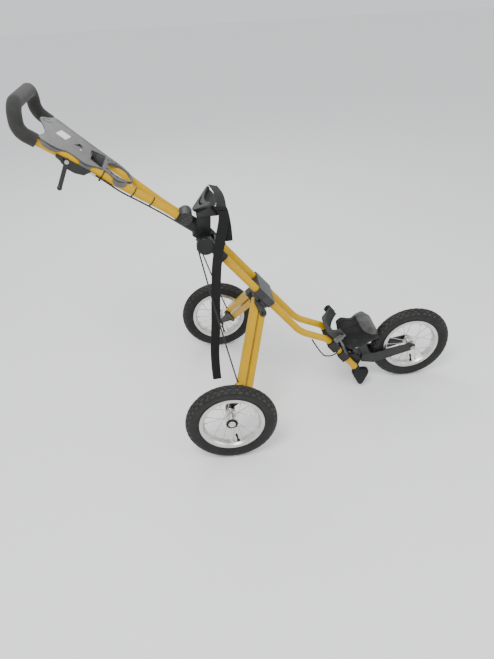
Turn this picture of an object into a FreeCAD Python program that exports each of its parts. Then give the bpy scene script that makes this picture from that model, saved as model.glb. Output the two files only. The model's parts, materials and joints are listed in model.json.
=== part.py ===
import FreeCAD, Part
import math
import os
import re
import Sketcher
from FreeCAD import Placement, Rotation, Vector

# Three-wheeled folding golf push cart, millimetres, +Z up.
# Places are worked out in cart coordinates: x ahead of the rear axle, y to the cart's left,
# z above the floor. The document's origin lies on the floor in the middle of the whole cart,
# so everything is set back by "set_back" on its way into the document.

doc = FreeCAD.newDocument("golf_push_cart")
sheet = doc.addObject("Spreadsheet::Sheet", "dims")

DIMENSIONS = [
    ("set_back", 190.85, "rear axle to the middle of the cart"),
    ("wheel_radius", 157, "outside of the tyre"),
    ("section_radius", 22.5, "half the width of the tyre"),
    ("tyre_wall", 4, "rubber thickness of the tyre"),
    ("rim_radius", 111, "outside of the rim flange"),
    ("rim_half_width", 15.5, "half the width of the rim"),
    ("wheel_base", 740, "rear axle to front axle"),
    ("track", 664, "between the middles of the rear tyres"),
    ("flange_radius", 20, "spoke flange of a hub"),
    ("spoke_radius", 1.1, "wire spoke"),
    ("spoke_count", 16, "spokes in a wheel"),
    ("axle_radius", 6, "rear stub axle"),
    ("front_axle_radius", 5, "front axle"),
    ("fit_gap", 0.05, "radial running clearance of a shaft"),
    ("tube_radius", 12.7, "frame and handle tubes"),
    ("tube_wall", 1.6, "wall of those tubes"),
    ("tube_offset", 47, "main tube from the middle plane"),
    ("bolt_radius", 5, "handle pivot bolt"),
    ("pin_radius", 4, "leg and fork hinge pins"),
    ("knob_radius", 29, "handle clamp knob"),
    ("knob_thickness", 30, "handle clamp knob"),
    ("handle_slope", 39.2, "handle above the floor, degrees"),
    ("handle_rise", 12, "handle tubes above the pivot"),
    ("yoke_offset", 14, "handle tube from the middle plane in the yoke"),
    ("handle_spread", 0.2238, "how fast the handle tubes part"),
    ("foam_radius", 19.5, "foam grip"),
    ("console_wall", 3, "moulded console plate"),
    ("cup_radius", 43, "cup holder hole"),
    ("leg_width", 24, "leg bar across the linkage"),
    ("leg_thickness", 20, "leg bar along its hinge pins"),
    ("leg_wall", 2, "wall of a leg bar"),
    ("leg_length", 304.5, "between the pins of a leg bar"),
    ("fork_inner", 25, "inner face of a fork arm from the middle"),
    ("fork_thickness", 7, "fork arm plate"),
    ("cable_radius", 2.5, "brake cable housing"),
    ("strap_width", 32, "bag strap webbing"),
    ("strap_thickness", 2.4, "bag strap webbing"),
]
ALIASES = set()
for row, (alias, number, meaning) in enumerate(DIMENSIONS, start=1):
    sheet.set(f"A{row}", alias)
    sheet.set(f"B{row}", str(number))
    sheet.setAlias(f"B{row}", alias)
    sheet.set(f"C{row}", meaning)
    ALIASES.add(alias)
doc.recompute()


def link(text):
    """An expression with each dimension's name pointed at its cell."""
    return re.sub(r"[a-z_]+", lambda word: f"dims.{word[0]}" if word[0] in ALIASES else word[0], text)


def size(text):
    """The value of a dimension, or of an expression of dimensions."""
    if isinstance(text, str):
        return float(sheet.evalExpression(link(text)))
    return float(text)


def bind(item, prop, text):
    """Tie a property of an object to the sheet."""
    if isinstance(text, str):
        item.setExpression(prop, link(text))
    else:
        setattr(item, prop, text)


# ---------------------------------------------------------------- placing

SET_BACK = size("set_back")
NODES = []


def at(x, y, z):
    """A point of the cart in the document's frame."""
    return Vector(x - SET_BACK, y, z)


def axes_placement(origin, x_axis, z_axis):
    """A placement from its origin, its X axis and its Z axis."""
    y_axis = z_axis.cross(x_axis)
    return Placement(origin, Rotation(x_axis, y_axis, z_axis, "ZXY"))


def finish_node(item, label, placement=None):
    """Give a sub-part its name and place, and keep it for writing."""
    item.Label = label
    if placement is not None:
        item.Placement = placement
    NODES.append(item)
    return item


def shape_node(label, shape, placement=None):
    """A sub-part whose shape is made directly."""
    item = doc.addObject("Part::Feature", label)
    item.Shape = shape
    return finish_node(item, label, placement)


# ---------------------------------------------------------------- sketches and bodies

def new_body(label):
    return doc.addObject("PartDesign::Body", label)


def origin_plane(body, role):
    return next(item for item in body.Origin.OriginFeatures if item.Role == role)


def new_sketch(body, name, role="XY_Plane", offset=0):
    sketch = body.newObject("Sketcher::SketchObject", name)
    sketch.AttachmentSupport = [(origin_plane(body, role), "")]
    sketch.MapMode = "FlatFace"
    sketch.AttachmentOffset = Placement(Vector(0, 0, offset), Rotation())
    return sketch


def pin_point(sketch, geometry, end, x, y):
    """Hold a sketch point at x, y, each a number or an expression."""
    for kind, text in (("DistanceX", x), ("DistanceY", y)):
        index = sketch.addConstraint(Sketcher.Constraint(kind, geometry, end, size(text)))
        if isinstance(text, str):
            sketch.renameConstraint(index, f"{kind}_{index}")
            sketch.setExpression(f"Constraints.{kind}_{index}", link(text))


def add_outline(sketch, corners):
    """Closed outline. A corner of four entries is reached by an arc through its last two."""
    points = [Vector(size(corner[0]), size(corner[1]), 0) for corner in corners]
    ends = []
    for index, corner in enumerate(corners):
        start, end = points[index - 1], points[index]
        if len(corner) == 4:
            middle = Vector(size(corner[2]), size(corner[3]), 0)
            geometry = sketch.addGeometry(Part.Arc(start, middle, end), False)
            turned = sketch.getPoint(geometry, 1).distanceToPoint(start) > 0.001
            ends.append((geometry, 2 if turned else 1, 1 if turned else 2, True))
        else:
            geometry = sketch.addGeometry(Part.LineSegment(start, end), False)
            ends.append((geometry, 1, 2, False))
    for index, (geometry, first, last, _) in enumerate(ends):
        before = ends[index - 1]
        sketch.addConstraint(Sketcher.Constraint("Coincident", before[0], before[2], geometry, first))
        pin_point(sketch, geometry, last, corners[index][0], corners[index][1])
    for geometry, _, _, is_arc in ends:
        if is_arc:
            radius = sketch.Geometry[geometry].Radius
            sketch.addConstraint(Sketcher.Constraint("Radius", geometry, radius))


def add_circle(sketch, x, y, radius):
    circle = Part.Circle(Vector(size(x), size(y), 0), Vector(0, 0, 1), size(radius))
    geometry = sketch.addGeometry(circle, False)
    pin_point(sketch, geometry, 3, x, y)
    index = sketch.addConstraint(Sketcher.Constraint("Radius", geometry, size(radius)))
    if isinstance(radius, str):
        sketch.renameConstraint(index, f"Radius_{index}")
        sketch.setExpression(f"Constraints.Radius_{index}", link(radius))


def pad(body, sketch, length, centred=False, reverse=False):
    feature = body.newObject("PartDesign::Pad", f"{sketch.Name}_pad")
    feature.Profile = sketch
    bind(feature, "Length", length)
    feature.Midplane = centred
    feature.Reversed = reverse
    sketch.Visibility = False
    return feature


def pocket(body, sketch, length, centred=True, reverse=False):
    feature = body.newObject("PartDesign::Pocket", f"{sketch.Name}_pocket")
    feature.Profile = sketch
    bind(feature, "Length", length)
    feature.Midplane = centred
    feature.Reversed = reverse
    sketch.Visibility = False
    return feature


def revolve(body, sketch):
    """Turn a sketch of radius and height about the body's Z axis."""
    feature = body.newObject("PartDesign::Revolution", f"{sketch.Name}_turned")
    feature.Profile = sketch
    feature.ReferenceAxis = (sketch, ["V_Axis"])
    feature.Angle = 360
    sketch.Visibility = False
    return feature


def turned_node(label, corners, placement):
    """A sub-part turned on a lathe: corners are radius and height."""
    body = new_body(label)
    sketch = new_sketch(body, f"{label}_section", "XZ_Plane")
    add_outline(sketch, corners)
    revolve(body, sketch)
    return finish_node(body, label, placement)


# ---------------------------------------------------------------- plain solids

def rod(start, end, radius):
    """A round bar between two points."""
    run = end - start
    return Part.makeCylinder(radius, run.Length, start, run)


def capsule(start, end, radius):
    """A round bar with round ends."""
    return rod(start, end, radius).fuse([Part.makeSphere(radius, start), Part.makeSphere(radius, end)])


def slab(corners, y_low, y_high, placement=None):
    """A plate whose outline lies in the XZ plane, between two y values."""
    points = [Vector(x, y_low, z) for x, z in corners]
    face = Part.Face(Part.makePolygon(points + points[:1]))
    plate = face.extrude(Vector(0, y_high - y_low, 0))
    if placement is not None:
        plate.transformShape(placement.toMatrix())
    return plate


def block(low, high, placement=None):
    """A box between two corners, moved by a placement."""
    span = high - low
    solid = Part.makeBox(span.x, span.y, span.z, low)
    if placement is not None:
        solid.transformShape(placement.toMatrix())
    return solid


def bent_route(points, radii):
    """Straight runs joined by tangent arcs, as one wire."""
    edges = []
    here = points[0]
    for index in range(1, len(points) - 1):
        corner = points[index]
        back = (points[index - 1] - corner).normalize()
        ahead = (points[index + 1] - corner).normalize()
        half_turn = (math.pi - back.getAngle(ahead)) / 2
        reach = radii[index - 1] * math.tan(half_turn)
        first = corner + back * reach
        last = corner + ahead * reach
        inward = (back + ahead).normalize()
        centre = corner + inward * (radii[index - 1] / math.cos(half_turn))
        middle = centre - inward * radii[index - 1]
        edges.append(Part.LineSegment(here, first).toShape())
        edges.append(Part.Arc(first, middle, last).toShape())
        here = last
    edges.append(Part.LineSegment(here, points[-1]).toShape())
    return Part.Wire(edges)


def swept_bar(route, radius):
    """A solid round bar along a route."""
    edge = route.Edges[0]
    start = edge.valueAt(edge.FirstParameter)
    heading = edge.tangentAt(edge.FirstParameter)
    ring = Part.Wire(Part.makeCircle(radius, start, heading))
    return route.makePipeShell([ring], True, True)


def swept_tube(route, outer, inner):
    return swept_bar(route, outer).cut(swept_bar(route, inner))


# ---------------------------------------------------------------- wheels

WHEEL_Z = size("wheel_radius")
HALF_TRACK = size("track / 2")
SIDES = (("right", -1), ("left", 1))


def wheel_placement(x, y, outward):
    """Wheel frame: Z points out of the cart along its axle."""
    return axes_placement(at(x, y, WHEEL_Z), Vector(1, 0, 0), Vector(0, outward, 0))


def make_tyre(label, placement):
    centre = "wheel_radius - section_radius"
    inner = "(section_radius - tyre_wall)"
    turned_node(label, [
        ("rim_radius - 7.2", 13.2),
        ("rim_radius + 1.5", 13.2),
        (f"{centre} - section_radius * 0.7071", "section_radius * 0.7071"),
        (f"{centre} - section_radius * 0.7071", "-section_radius * 0.7071", "wheel_radius", 0),
        ("rim_radius + 1.5", -13.2),
        ("rim_radius - 7.2", -13.2),
        ("rim_radius - 7.2", -10),
        ("rim_radius + 4", -10),
        (f"{centre} - {inner} * 0.7071", f"-{inner} * 0.7071"),
        (f"{centre} - {inner} * 0.7071", f"{inner} * 0.7071", f"{centre} + {inner}", 0),
        ("rim_radius + 4", 10),
        ("rim_radius - 7.2", 10),
    ], placement)


def make_rim(label, placement):
    turned_node(label, [
        ("rim_radius", 13.5),
        ("rim_radius", "rim_half_width"),
        ("rim_radius - 12", "rim_half_width"),
        ("rim_radius - 17", 9),
        ("rim_radius - 17", -9),
        ("rim_radius - 12", "-rim_half_width"),
        ("rim_radius", "-rim_half_width"),
        ("rim_radius", -13.5),
        ("rim_radius - 7.5", -13.5),
        ("rim_radius - 7.5", -10),
        ("rim_radius - 14", -6),
        ("rim_radius - 14", 6),
        ("rim_radius - 7.5", 10),
        ("rim_radius - 7.5", 13.5),
    ], placement)


def make_spokes(label, inner_height, outer_height, placement):
    """Wire spokes, laced from the two hub flanges to the rim in turn."""
    count = int(size("spoke_count"))
    foot = size("flange_radius + 1")
    top = size("rim_radius - 17.7")
    wires = []
    for index in range(count):
        angle = 2 * math.pi * index / count
        lean = math.radians(38) * (1 if index % 4 < 2 else -1)
        height = outer_height if index % 2 else inner_height
        start = Vector(foot * math.cos(angle + lean), foot * math.sin(angle + lean), height)
        end = Vector(top * math.cos(angle), top * math.sin(angle), math.copysign(3, height))
        wires.append(rod(start, end, size("spoke_radius")))
    shape_node(label, Part.makeCompound(wires), placement)


def make_rear_hub(label, inner, outer, placement):
    """Rear hub with a blind bore for the stub axle and a domed outer end."""
    bore = "axle_radius + fit_gap"
    turned_node(label, [
        (bore, -50),
        (16, -50),
        (16, -44),
        (11, -40),
        (11, inner - 2),
        ("flange_radius", inner - 1.5),
        ("flange_radius", inner + 1.5),
        (13, inner + 4),
        (13, outer - 4),
        ("flange_radius", outer - 1.5),
        ("flange_radius", outer + 1.5),
        (14, outer + 2),
        (9, 12, 12.6, 11),
        (0, 13),
        (0, 7),
        (bore, 7),
    ], placement)


def make_front_hub(label, flange, placement):
    bore = "front_axle_radius + fit_gap"
    turned_node(label, [
        (bore, -24.5),
        (11, -24.5),
        (11, -flange - 2),
        ("flange_radius", -flange - 1.5),
        ("flange_radius", -flange + 1.5),
        (12, -flange + 3),
        (12, flange - 3),
        ("flange_radius", flange - 1.5),
        ("flange_radius", flange + 1.5),
        (11, flange + 2),
        (11, 24.5),
        (bore, 24.5),
    ], placement)


REAR_INNER_FLANGE = -34
REAR_OUTER_FLANGE = 8
FRONT_FLANGE = 16
for side, sign in SIDES:
    spot = wheel_placement(0, sign * HALF_TRACK, sign)
    make_tyre(f"tyre_{side}", spot)
    make_rim(f"rim_{side}", spot)
    make_spokes(f"spokes_{side}", REAR_INNER_FLANGE, REAR_OUTER_FLANGE, spot)
    make_rear_hub(f"hub_{side}", REAR_INNER_FLANGE, REAR_OUTER_FLANGE, spot)
front_spot = wheel_placement(size("wheel_base"), 0, -1)
make_tyre("tyre_front", front_spot)
make_rim("rim_front", front_spot)
make_spokes("spokes_front", -FRONT_FLANGE, FRONT_FLANGE, front_spot)
make_front_hub("hub_front", FRONT_FLANGE, front_spot)


# ---------------------------------------------------------------- main tubes

TUBE_Y = size("tube_offset")
TUBE_R = size("tube_radius")
TUBE_TOP = (-8, 672.6)
TUBE_BEND = (290, 295)
TUBE_KNEE = (391, 250)
TUBE_FOOT = (515, 94)
TUBE_BEND_RADII = (120, 60)
UPPER_DIR = Vector(TUBE_BEND[0] - TUBE_TOP[0], 0, TUBE_BEND[1] - TUBE_TOP[1]).normalize()
LOWER_DIR = Vector(TUBE_FOOT[0] - TUBE_KNEE[0], 0, TUBE_FOOT[1] - TUBE_KNEE[1]).normalize()
UPPER_NORMAL = Vector(-UPPER_DIR.z, 0, UPPER_DIR.x)
LOWER_NORMAL = Vector(-LOWER_DIR.z, 0, LOWER_DIR.x)


def upper_frame():
    """X down the upper run of the tubes, Z out of their top, from the tubes' top ends."""
    return axes_placement(at(TUBE_TOP[0], 0, TUBE_TOP[1]), UPPER_DIR, UPPER_NORMAL)


def lower_frame():
    """X down the lower run of the tubes, Z out of their top, from the knee."""
    return axes_placement(at(TUBE_KNEE[0], 0, TUBE_KNEE[1]), LOWER_DIR, LOWER_NORMAL)


def main_tube_cutter(frame, length):
    """Round bars a little larger than the two main tubes, to make room for them."""
    gap = TUBE_R + 0.1
    bars = [Part.makeCylinder(gap, length, Vector(0, sign * TUBE_Y, 0), Vector(1, 0, 0)) for _, sign in SIDES]
    cutter = bars[0].fuse(bars[1])
    cutter.transformShape(frame.toMatrix())
    return cutter


def make_main_tubes():
    for side, sign in SIDES:
        y = sign * TUBE_Y
        corners = (TUBE_TOP, TUBE_BEND, TUBE_KNEE, TUBE_FOOT)
        route = bent_route([at(x, y, z) for x, z in corners], TUBE_BEND_RADII)
        shape_node(f"main_tube_{side}", swept_tube(route, TUBE_R, size("tube_radius - tube_wall")))


def make_rubber_feet():
    """A rubber bumper under each tube end, with a plug that goes up the tube."""
    outline = [(505.4, 85.7), (525.3, 101.4), (535, 84), (566, 82), (571, 75), (549, 14), (540, 8), (531, 13), (503, 68)]
    feet = []
    for _, sign in SIDES:
        middle = sign * TUBE_Y
        corners = [(x - SET_BACK, z) for x, z in outline]
        foot = slab(corners, middle - 12.4, middle + 12.4)
        foot = foot.makeFillet(5, [edge for edge in foot.Edges if is_foot_edge(edge)])
        end = at(TUBE_FOOT[0], middle, TUBE_FOOT[1])
        plug = rod(end - LOWER_DIR * 20, end + LOWER_DIR * 3, size("tube_radius - tube_wall - 0.1"))
        feet.append(foot.fuse(plug).removeSplitter())
    shape_node("rubber_feet", Part.makeCompound(feet))


def is_foot_edge(edge):
    """The long outline edges of the foot, away from the tube's end."""
    low = edge.BoundBox
    return low.YLength < 0.1 and low.ZMax < 84.5


make_main_tubes()
make_rubber_feet()


# ---------------------------------------------------------------- tube clamps

def make_tube_clamps():
    """Two black blocks that clamp both tubes below the knee."""
    frame = lower_frame()
    cutter = main_tube_cutter(frame, 200)
    blocks = []
    for start, length in ((17, 44), (83, 42)):
        solid = block(Vector(start, -66, -15.5), Vector(start + length, 66, 16), frame)
        solid = solid.makeFillet(4, [edge for edge in solid.Edges if edge.Length > 100])
        blocks.append(solid.cut(cutter))
    shape_node("tube_clamps", Part.makeCompound(blocks))


make_tube_clamps()


# ---------------------------------------------------------------- front fork

FORK_PIVOT = (520, 128)
FORK_OUTER = size("fork_inner + fork_thickness")
ARM_OUTLINE = [(556, 107), (590, 100), (735, 141), (752, 150), (752, 166), (735, 174), (590, 148), (556, 146)]


def make_fork():
    """Two arm plates, the crown between them behind the tyre, and the pivot barrel."""
    inner = size("fork_inner")
    corners = [(x - SET_BACK, z) for x, z in ARM_OUTLINE]
    solid = slab(corners, inner, FORK_OUTER).fuse(slab(corners, -FORK_OUTER, -inner))
    crown = slab([(x - SET_BACK, z) for x, z in ((540, 110), (573, 104), (573, 147), (540, 144))],
                 -FORK_OUTER, FORK_OUTER)
    pivot = at(FORK_PIVOT[0], 0, FORK_PIVOT[1])
    barrel = rod(pivot - Vector(0, 20, 0), pivot + Vector(0, 20, 0), 13)
    web = block(at(FORK_PIVOT[0], -20, FORK_PIVOT[1] - 11), at(545, 20, FORK_PIVOT[1] + 11))
    solid = solid.fuse([crown, barrel, web]).removeSplitter()
    pin_hole = rod(pivot - Vector(0, 60, 0), pivot + Vector(0, 60, 0), size("pin_radius + fit_gap"))
    axle = at(size("wheel_base"), 0, WHEEL_Z)
    axle_hole = rod(axle - Vector(0, 60, 0), axle + Vector(0, 60, 0), size("front_axle_radius + 0.1"))
    shape_node("fork", solid.cut([pin_hole, axle_hole]))


def make_front_axle():
    """The front axle with a nut outside each fork arm."""
    axle = at(size("wheel_base"), 0, WHEEL_Z)
    solid = rod(axle - Vector(0, 42, 0), axle + Vector(0, 42, 0), size("front_axle_radius"))
    for sign in (-1, 1):
        inner = axle + Vector(0, sign * (FORK_OUTER + 0.1), 0)
        solid = solid.fuse(rod(inner, inner + Vector(0, sign * 7, 0), 8.5))
    shape_node("front_axle", solid.removeSplitter())


def make_front_brake():
    """Band brake arm on the left fork arm, with its two bolts."""
    y = FORK_OUTER + 0.2
    corners = ((662, 127), (674, 121), (712, 134), (716, 148), (700, 150), (668, 139))
    arm = slab([(x - SET_BACK, z) for x, z in corners], y, y + 6)
    bolts = [rod(at(x, y + 5, z), at(x, y + 10, z), 4) for x, z in ((673, 130), (704, 142))]
    shape_node("front_brake", arm.fuse(bolts).removeSplitter())


def make_fork_mount():
    """Casting between the main tubes that carries the fork's hinge pin."""
    frame = lower_frame()
    pivot = at(FORK_PIVOT[0], 0, FORK_PIVOT[1])
    solid = block(Vector(132, -42, -12), Vector(154, 42, 12), frame)
    arm = [(136, -10), (152, -10), (158, 6), (172, 14), (172, 37), (150, 34), (136, 12)]
    for sign in (-1, 1):
        low, high = sorted((sign * 20.4, sign * 33.5))
        lug = rod(pivot + Vector(0, low, 0), pivot + Vector(0, high, 0), 13)
        solid = solid.fuse([lug, slab(arm, low, high, frame)])
    pin = rod(pivot - Vector(0, 34, 0), pivot + Vector(0, 34, 0), size("pin_radius"))
    solid = solid.cut(main_tube_cutter(frame, 240)).cut(pin).fuse(pin).removeSplitter()
    shape_node("fork_mount", solid)


make_fork()
make_front_axle()
make_front_brake()
make_fork_mount()


# ---------------------------------------------------------------- legs

LEG_DIR = Vector(-0.276, -0.660, -0.6986).normalize()
LINK_OFFSET = Vector(17.1, -17, -42.8)
REAR_HINGE = (126.1, -42, 445)
LUG_RADIUS = 13
LUG_INNER = 10.6
LUG_OUTER = 16.5
LEG_FOLD = 95


def mirrored(vector, sign):
    """A right-hand vector for the side in question."""
    return Vector(vector.x, -sign * vector.y, vector.z)


def leg_axes(sign):
    """Along the bar, across the linkage, and along the hinge pins, for one side."""
    along = mirrored(LEG_DIR, sign)
    offset = mirrored(LINK_OFFSET, sign)
    across = (offset - along * offset.dot(along)).normalize()
    return along, across, along.cross(across)


def pin_direction(sign):
    """Along the hinge pins towards their heads, on the outer side of a leg."""
    return leg_axes(sign)[2] * -sign


def hinge_points(sign):
    """Top pins of the rear and the front bar of one side."""
    rear = at(REAR_HINGE[0], -sign * REAR_HINGE[1], REAR_HINGE[2])
    return rear, rear + mirrored(LINK_OFFSET, sign)


def make_leg_bar(label, origin, along, across):
    """Box-section bar, its frame's Z along the bar from the top pin."""
    body = new_body(label)
    reach = 12
    section = new_sketch(body, f"{label}_section", "XY_Plane", -reach)
    half_width, half_depth = "leg_width / 2", "leg_thickness / 2"
    add_outline(section, [(half_width, half_depth), (f"-{half_width}", half_depth),
                          (f"-{half_width}", f"-{half_depth}"), (half_width, f"-{half_depth}")])
    inner_width, inner_depth = "(leg_width / 2 - leg_wall)", "(leg_thickness / 2 - leg_wall)"
    add_outline(section, [(inner_width, inner_depth), (f"-{inner_width}", inner_depth),
                          (f"-{inner_width}", f"-{inner_depth}"), (inner_width, f"-{inner_depth}")])
    pad(body, section, f"leg_length + {2 * reach}")
    holes = new_sketch(body, f"{label}_holes", "XZ_Plane")
    add_circle(holes, 0, 0, "pin_radius + fit_gap")
    add_circle(holes, 0, "leg_length", "pin_radius + fit_gap")
    pocket(body, holes, "leg_thickness * 2")
    finish_node(body, label, axes_placement(origin, across, along))


def stadium(first, second, radius, normal, low, high):
    """Plate with round ends over two points, between two heights along its normal."""
    solid = rod(first + normal * low, first + normal * high, radius)
    solid = solid.fuse(rod(second + normal * low, second + normal * high, radius))
    run = second - first
    side = run.cross(normal).normalize() * radius
    corners = [first + side, second + side, second - side, first - side]
    points = [corner + normal * low for corner in corners]
    face = Part.Face(Part.makePolygon(points + points[:1]))
    return solid.fuse(face.extrude(normal * (high - low)))


def make_legs():
    for side, sign in SIDES:
        along, across, _ = leg_axes(sign)
        rear, front = hinge_points(sign)
        make_leg_bar(f"leg_rear_{side}", rear, along, across)
        make_leg_bar(f"leg_front_{side}", front, along, across)


def make_leg_bracket():
    """Casting under the tubes, with a fork of two lugs for each leg."""
    frame = upper_frame()
    solid = block(Vector(228, -60, -24), Vector(300, 60, -15.8), frame)
    solid = solid.fuse(block(Vector(234, -16, -52), Vector(294, 16, -20), frame))
    for _, sign in SIDES:
        rear, front = hinge_points(sign)
        lugs = stadium(rear, front, LUG_RADIUS, pin_direction(sign), -LUG_OUTER, LUG_OUTER)
        solid = solid.fuse(lugs)
    for _, sign in SIDES:
        along, _, normal = leg_axes(sign)
        way = pin_direction(sign)
        for hinge in hinge_points(sign):
            cutters = [rod(hinge - way * LUG_INNER, hinge + way * LUG_INNER, 19)]
            for step in range(5):
                turned = Rotation(normal, -LEG_FOLD * step / 4).multVec(along)
                cutters.append(stadium(hinge, hinge + turned * 60, 13.5, way, -LUG_INNER, LUG_INNER))
            cutters.append(rod(hinge - way * 40, hinge + way * 40, size("pin_radius + 0.1")))
            cutters.append(rod(hinge + way * LUG_OUTER, hinge + way * (LUG_OUTER + 8), 7))
            for cutter in cutters:
                solid = solid.cut(cutter)
    solid = solid.cut(block(Vector(200, -80, -15.7), Vector(330, 80, 40), frame))
    shape_node("leg_bracket", solid.cut(main_tube_cutter(frame, 400)))


def make_hinge_pins():
    """Four pins at the tops of the leg bars."""
    pins = []
    for _, sign in SIDES:
        way = pin_direction(sign)
        for hinge in hinge_points(sign):
            pin = rod(hinge - way * (LUG_OUTER + 1), hinge + way * (LUG_OUTER + 1), size("pin_radius"))
            head = rod(hinge + way * (LUG_OUTER + 0.2), hinge + way * (LUG_OUTER + 4), 6.5)
            pins.append(pin.fuse(head).removeSplitter())
    shape_node("hinge_pins", Part.makeCompound(pins))


def make_bracket_band():
    """Moulded collar round both main tubes over the leg bracket."""
    frame = upper_frame()
    solid = block(Vector(224, -65, -15.6), Vector(304, 65, 16), frame)
    solid = solid.makeFillet(7, [edge for edge in solid.Edges if 75 < edge.Length < 85])
    shape_node("bracket_band", solid.cut(main_tube_cutter(frame, 400)))


def lower_pins(sign):
    along = leg_axes(sign)[0]
    reach = along * size("leg_length")
    return [hinge + reach for hinge in hinge_points(sign)]


def make_wheel_mounts():
    """Leg end castings: a plate on the inner side of the bars and an arm to the axle boss."""
    for side, sign in SIDES:
        way = pin_direction(sign)
        rear, front = lower_pins(sign)
        boss_inner = at(0, sign * 258, WHEEL_Z)
        boss_outer = at(0, sign * 281.5, WHEEL_Z)
        low, high = -LUG_OUTER - 2, -LUG_INNER
        plate = stadium(rear, front, LUG_RADIUS, way, low, high)
        middle = way * ((low + high) / 2)
        boss = rod(boss_inner, boss_outer, 17)
        meeting = boss_inner + Vector(0, sign * 9, 0)
        struts = [capsule(pin + middle, meeting, 4.6) for pin in (rear, front)]
        web_points = [rear + middle, front + middle, meeting]
        web_face = Part.Face(Part.makePolygon(web_points + web_points[:1]))
        web_normal = (web_points[1] - web_points[0]).cross(web_points[2] - web_points[0]).normalize()
        web = web_face.extrude(web_normal * 6)
        web.translate(web_normal * -3)
        solid = plate.fuse(struts + [web, boss]).removeSplitter()
        axle = rod(at(0, sign * 200, WHEEL_Z), at(0, sign * 300, WHEEL_Z), size("axle_radius + 0.1"))
        pins = [rod(pin - way * 40, pin + way * 40, size("pin_radius + 0.1")) for pin in (rear, front)]
        shape_node(f"wheel_mount_{side}", solid.cut([axle] + pins))


def make_mount_pins():
    """Two pins at the foot of each leg."""
    for side, sign in SIDES:
        way = pin_direction(sign)
        pins = []
        for pin in lower_pins(sign):
            shaft = rod(pin - way * (LUG_OUTER + 3), pin + way * 14, size("pin_radius"))
            head = rod(pin + way * 10.3, pin + way * 14, 6.5)
            pins.append(shaft.fuse(head).removeSplitter())
        shape_node(f"mount_pins_{side}", Part.makeCompound(pins))


def make_stub_axles():
    for side, sign in SIDES:
        shaft = rod(at(0, sign * 250, WHEEL_Z), at(0, sign * 338, WHEEL_Z), size("axle_radius"))
        nut = rod(at(0, sign * 250, WHEEL_Z), at(0, sign * 257.8, WHEEL_Z), 9)
        shape_node(f"stub_axle_{side}", shaft.fuse(nut).removeSplitter())


make_legs()
make_leg_bracket()
make_hinge_pins()
make_bracket_band()
make_wheel_mounts()
make_mount_pins()
make_stub_axles()


# ---------------------------------------------------------------- handle pivot

PIVOT = (-30, 695)
YOKE_HALF_WIDTH = 30
CHEEK_INNER = 31
CHEEK_OUTER = 40
CABLE_TOP = (-54, 36, 655)
CRADLE_APEX = (-60, 790)


def cradle_placement():
    """X away from the frame towards the bag, Z up along the tubes."""
    return axes_placement(at(CRADLE_APEX[0], 0, CRADLE_APEX[1]), UPPER_NORMAL, UPPER_DIR * -1)


def cradle_wedge():
    """The wedge under the cradle plate, in the document's frame."""
    outline = [(4, -40), (58, -72), (69, -67), (53, 0), (69, 67), (58, 72), (4, 40)]
    points = [Vector(x, y, -9.1) for x, y in outline]
    solid = Part.Face(Part.makePolygon(points + points[:1])).extrude(Vector(0, 0, -60))
    slope = [Vector(-20, -90, -10), Vector(-20, -90, -80), Vector(90, -90, -80), Vector(90, -90, -61.5)]
    solid = solid.cut(Part.Face(Part.makePolygon(slope + slope[:1])).extrude(Vector(0, 180, 0)))
    solid.transformShape(cradle_placement().toMatrix())
    return solid


def make_frame_knuckle():
    """Casting on the tube tops: sleeves, two cheeks round the yoke and a bridge."""
    frame = upper_frame()
    pivot = at(PIVOT[0], 0, PIVOT[1])
    solid = block(Vector(-2, -34, -5), Vector(16, 34, 14), frame)
    for _, sign in SIDES:
        sleeve = Part.makeCylinder(16.5, 72, Vector(-14, sign * TUBE_Y, 0), Vector(1, 0, 0))
        sleeve.transformShape(frame.toMatrix())
        lug = rod(pivot + Vector(0, sign * CHEEK_INNER, 0), pivot + Vector(0, sign * 61, 0), 22)
        post = slab([(x - SET_BACK, z) for x, z in ((-47, 700), (-12, 690), (-4, 786.6), (-45, 779.2), (-52, 762))],
                    *sorted((sign * CHEEK_INNER, sign * CHEEK_OUTER)))
        guide = capsule(pivot + Vector(0, sign * CABLE_TOP[1], 0),
                        at(CABLE_TOP[0] - 2, sign * CABLE_TOP[1], CABLE_TOP[2] + 8), 4.9)
        solid = solid.fuse([sleeve, lug, post, guide])
    barrel_room = rod(pivot - Vector(0, CHEEK_INNER - 0.5, 0), pivot + Vector(0, CHEEK_INNER - 0.5, 0), 22.5)
    bolt = rod(pivot - Vector(0, 90, 0), pivot + Vector(0, 90, 0), size("bolt_radius + fit_gap"))
    for cutter in (cradle_wedge(), barrel_room, bolt, main_tube_cutter(frame, 200)):
        solid = solid.cut(cutter)
    flat_sided = solid.common(block(at(-90, -61.5, 600), at(60, 61.5, 820)))
    shape_node("frame_knuckle", flat_sided)


def make_pivot_bolt():
    pivot = at(PIVOT[0], 0, PIVOT[1])
    shaft = rod(pivot - Vector(0, 84, 0), pivot + Vector(0, 62, 0), size("bolt_radius"))
    head = rod(pivot + Vector(0, 61.2, 0), pivot + Vector(0, 68, 0), 10)
    shape_node("pivot_bolt", shaft.fuse(head).removeSplitter())


def make_knob():
    """Round clamp knob on the right, with a blind bore for the bolt's end."""
    placement = axes_placement(at(PIVOT[0], -62, PIVOT[1]), Vector(1, 0, 0), Vector(0, -1, 0))
    bore = "bolt_radius + fit_gap"
    turned_node("clamp_knob", [
        (bore, 0),
        ("knob_radius - 5", 0),
        ("knob_radius", 6),
        ("knob_radius", "knob_thickness - 4"),
        ("knob_radius - 4", "knob_thickness", "knob_radius - 1.17", "knob_thickness - 1.17"),
        (0, "knob_thickness"),
        (0, 22.5),
        (bore, 22.5),
    ], placement)


make_frame_knuckle()
make_pivot_bolt()
make_knob()


# ---------------------------------------------------------------- upper bag cradle

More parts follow.
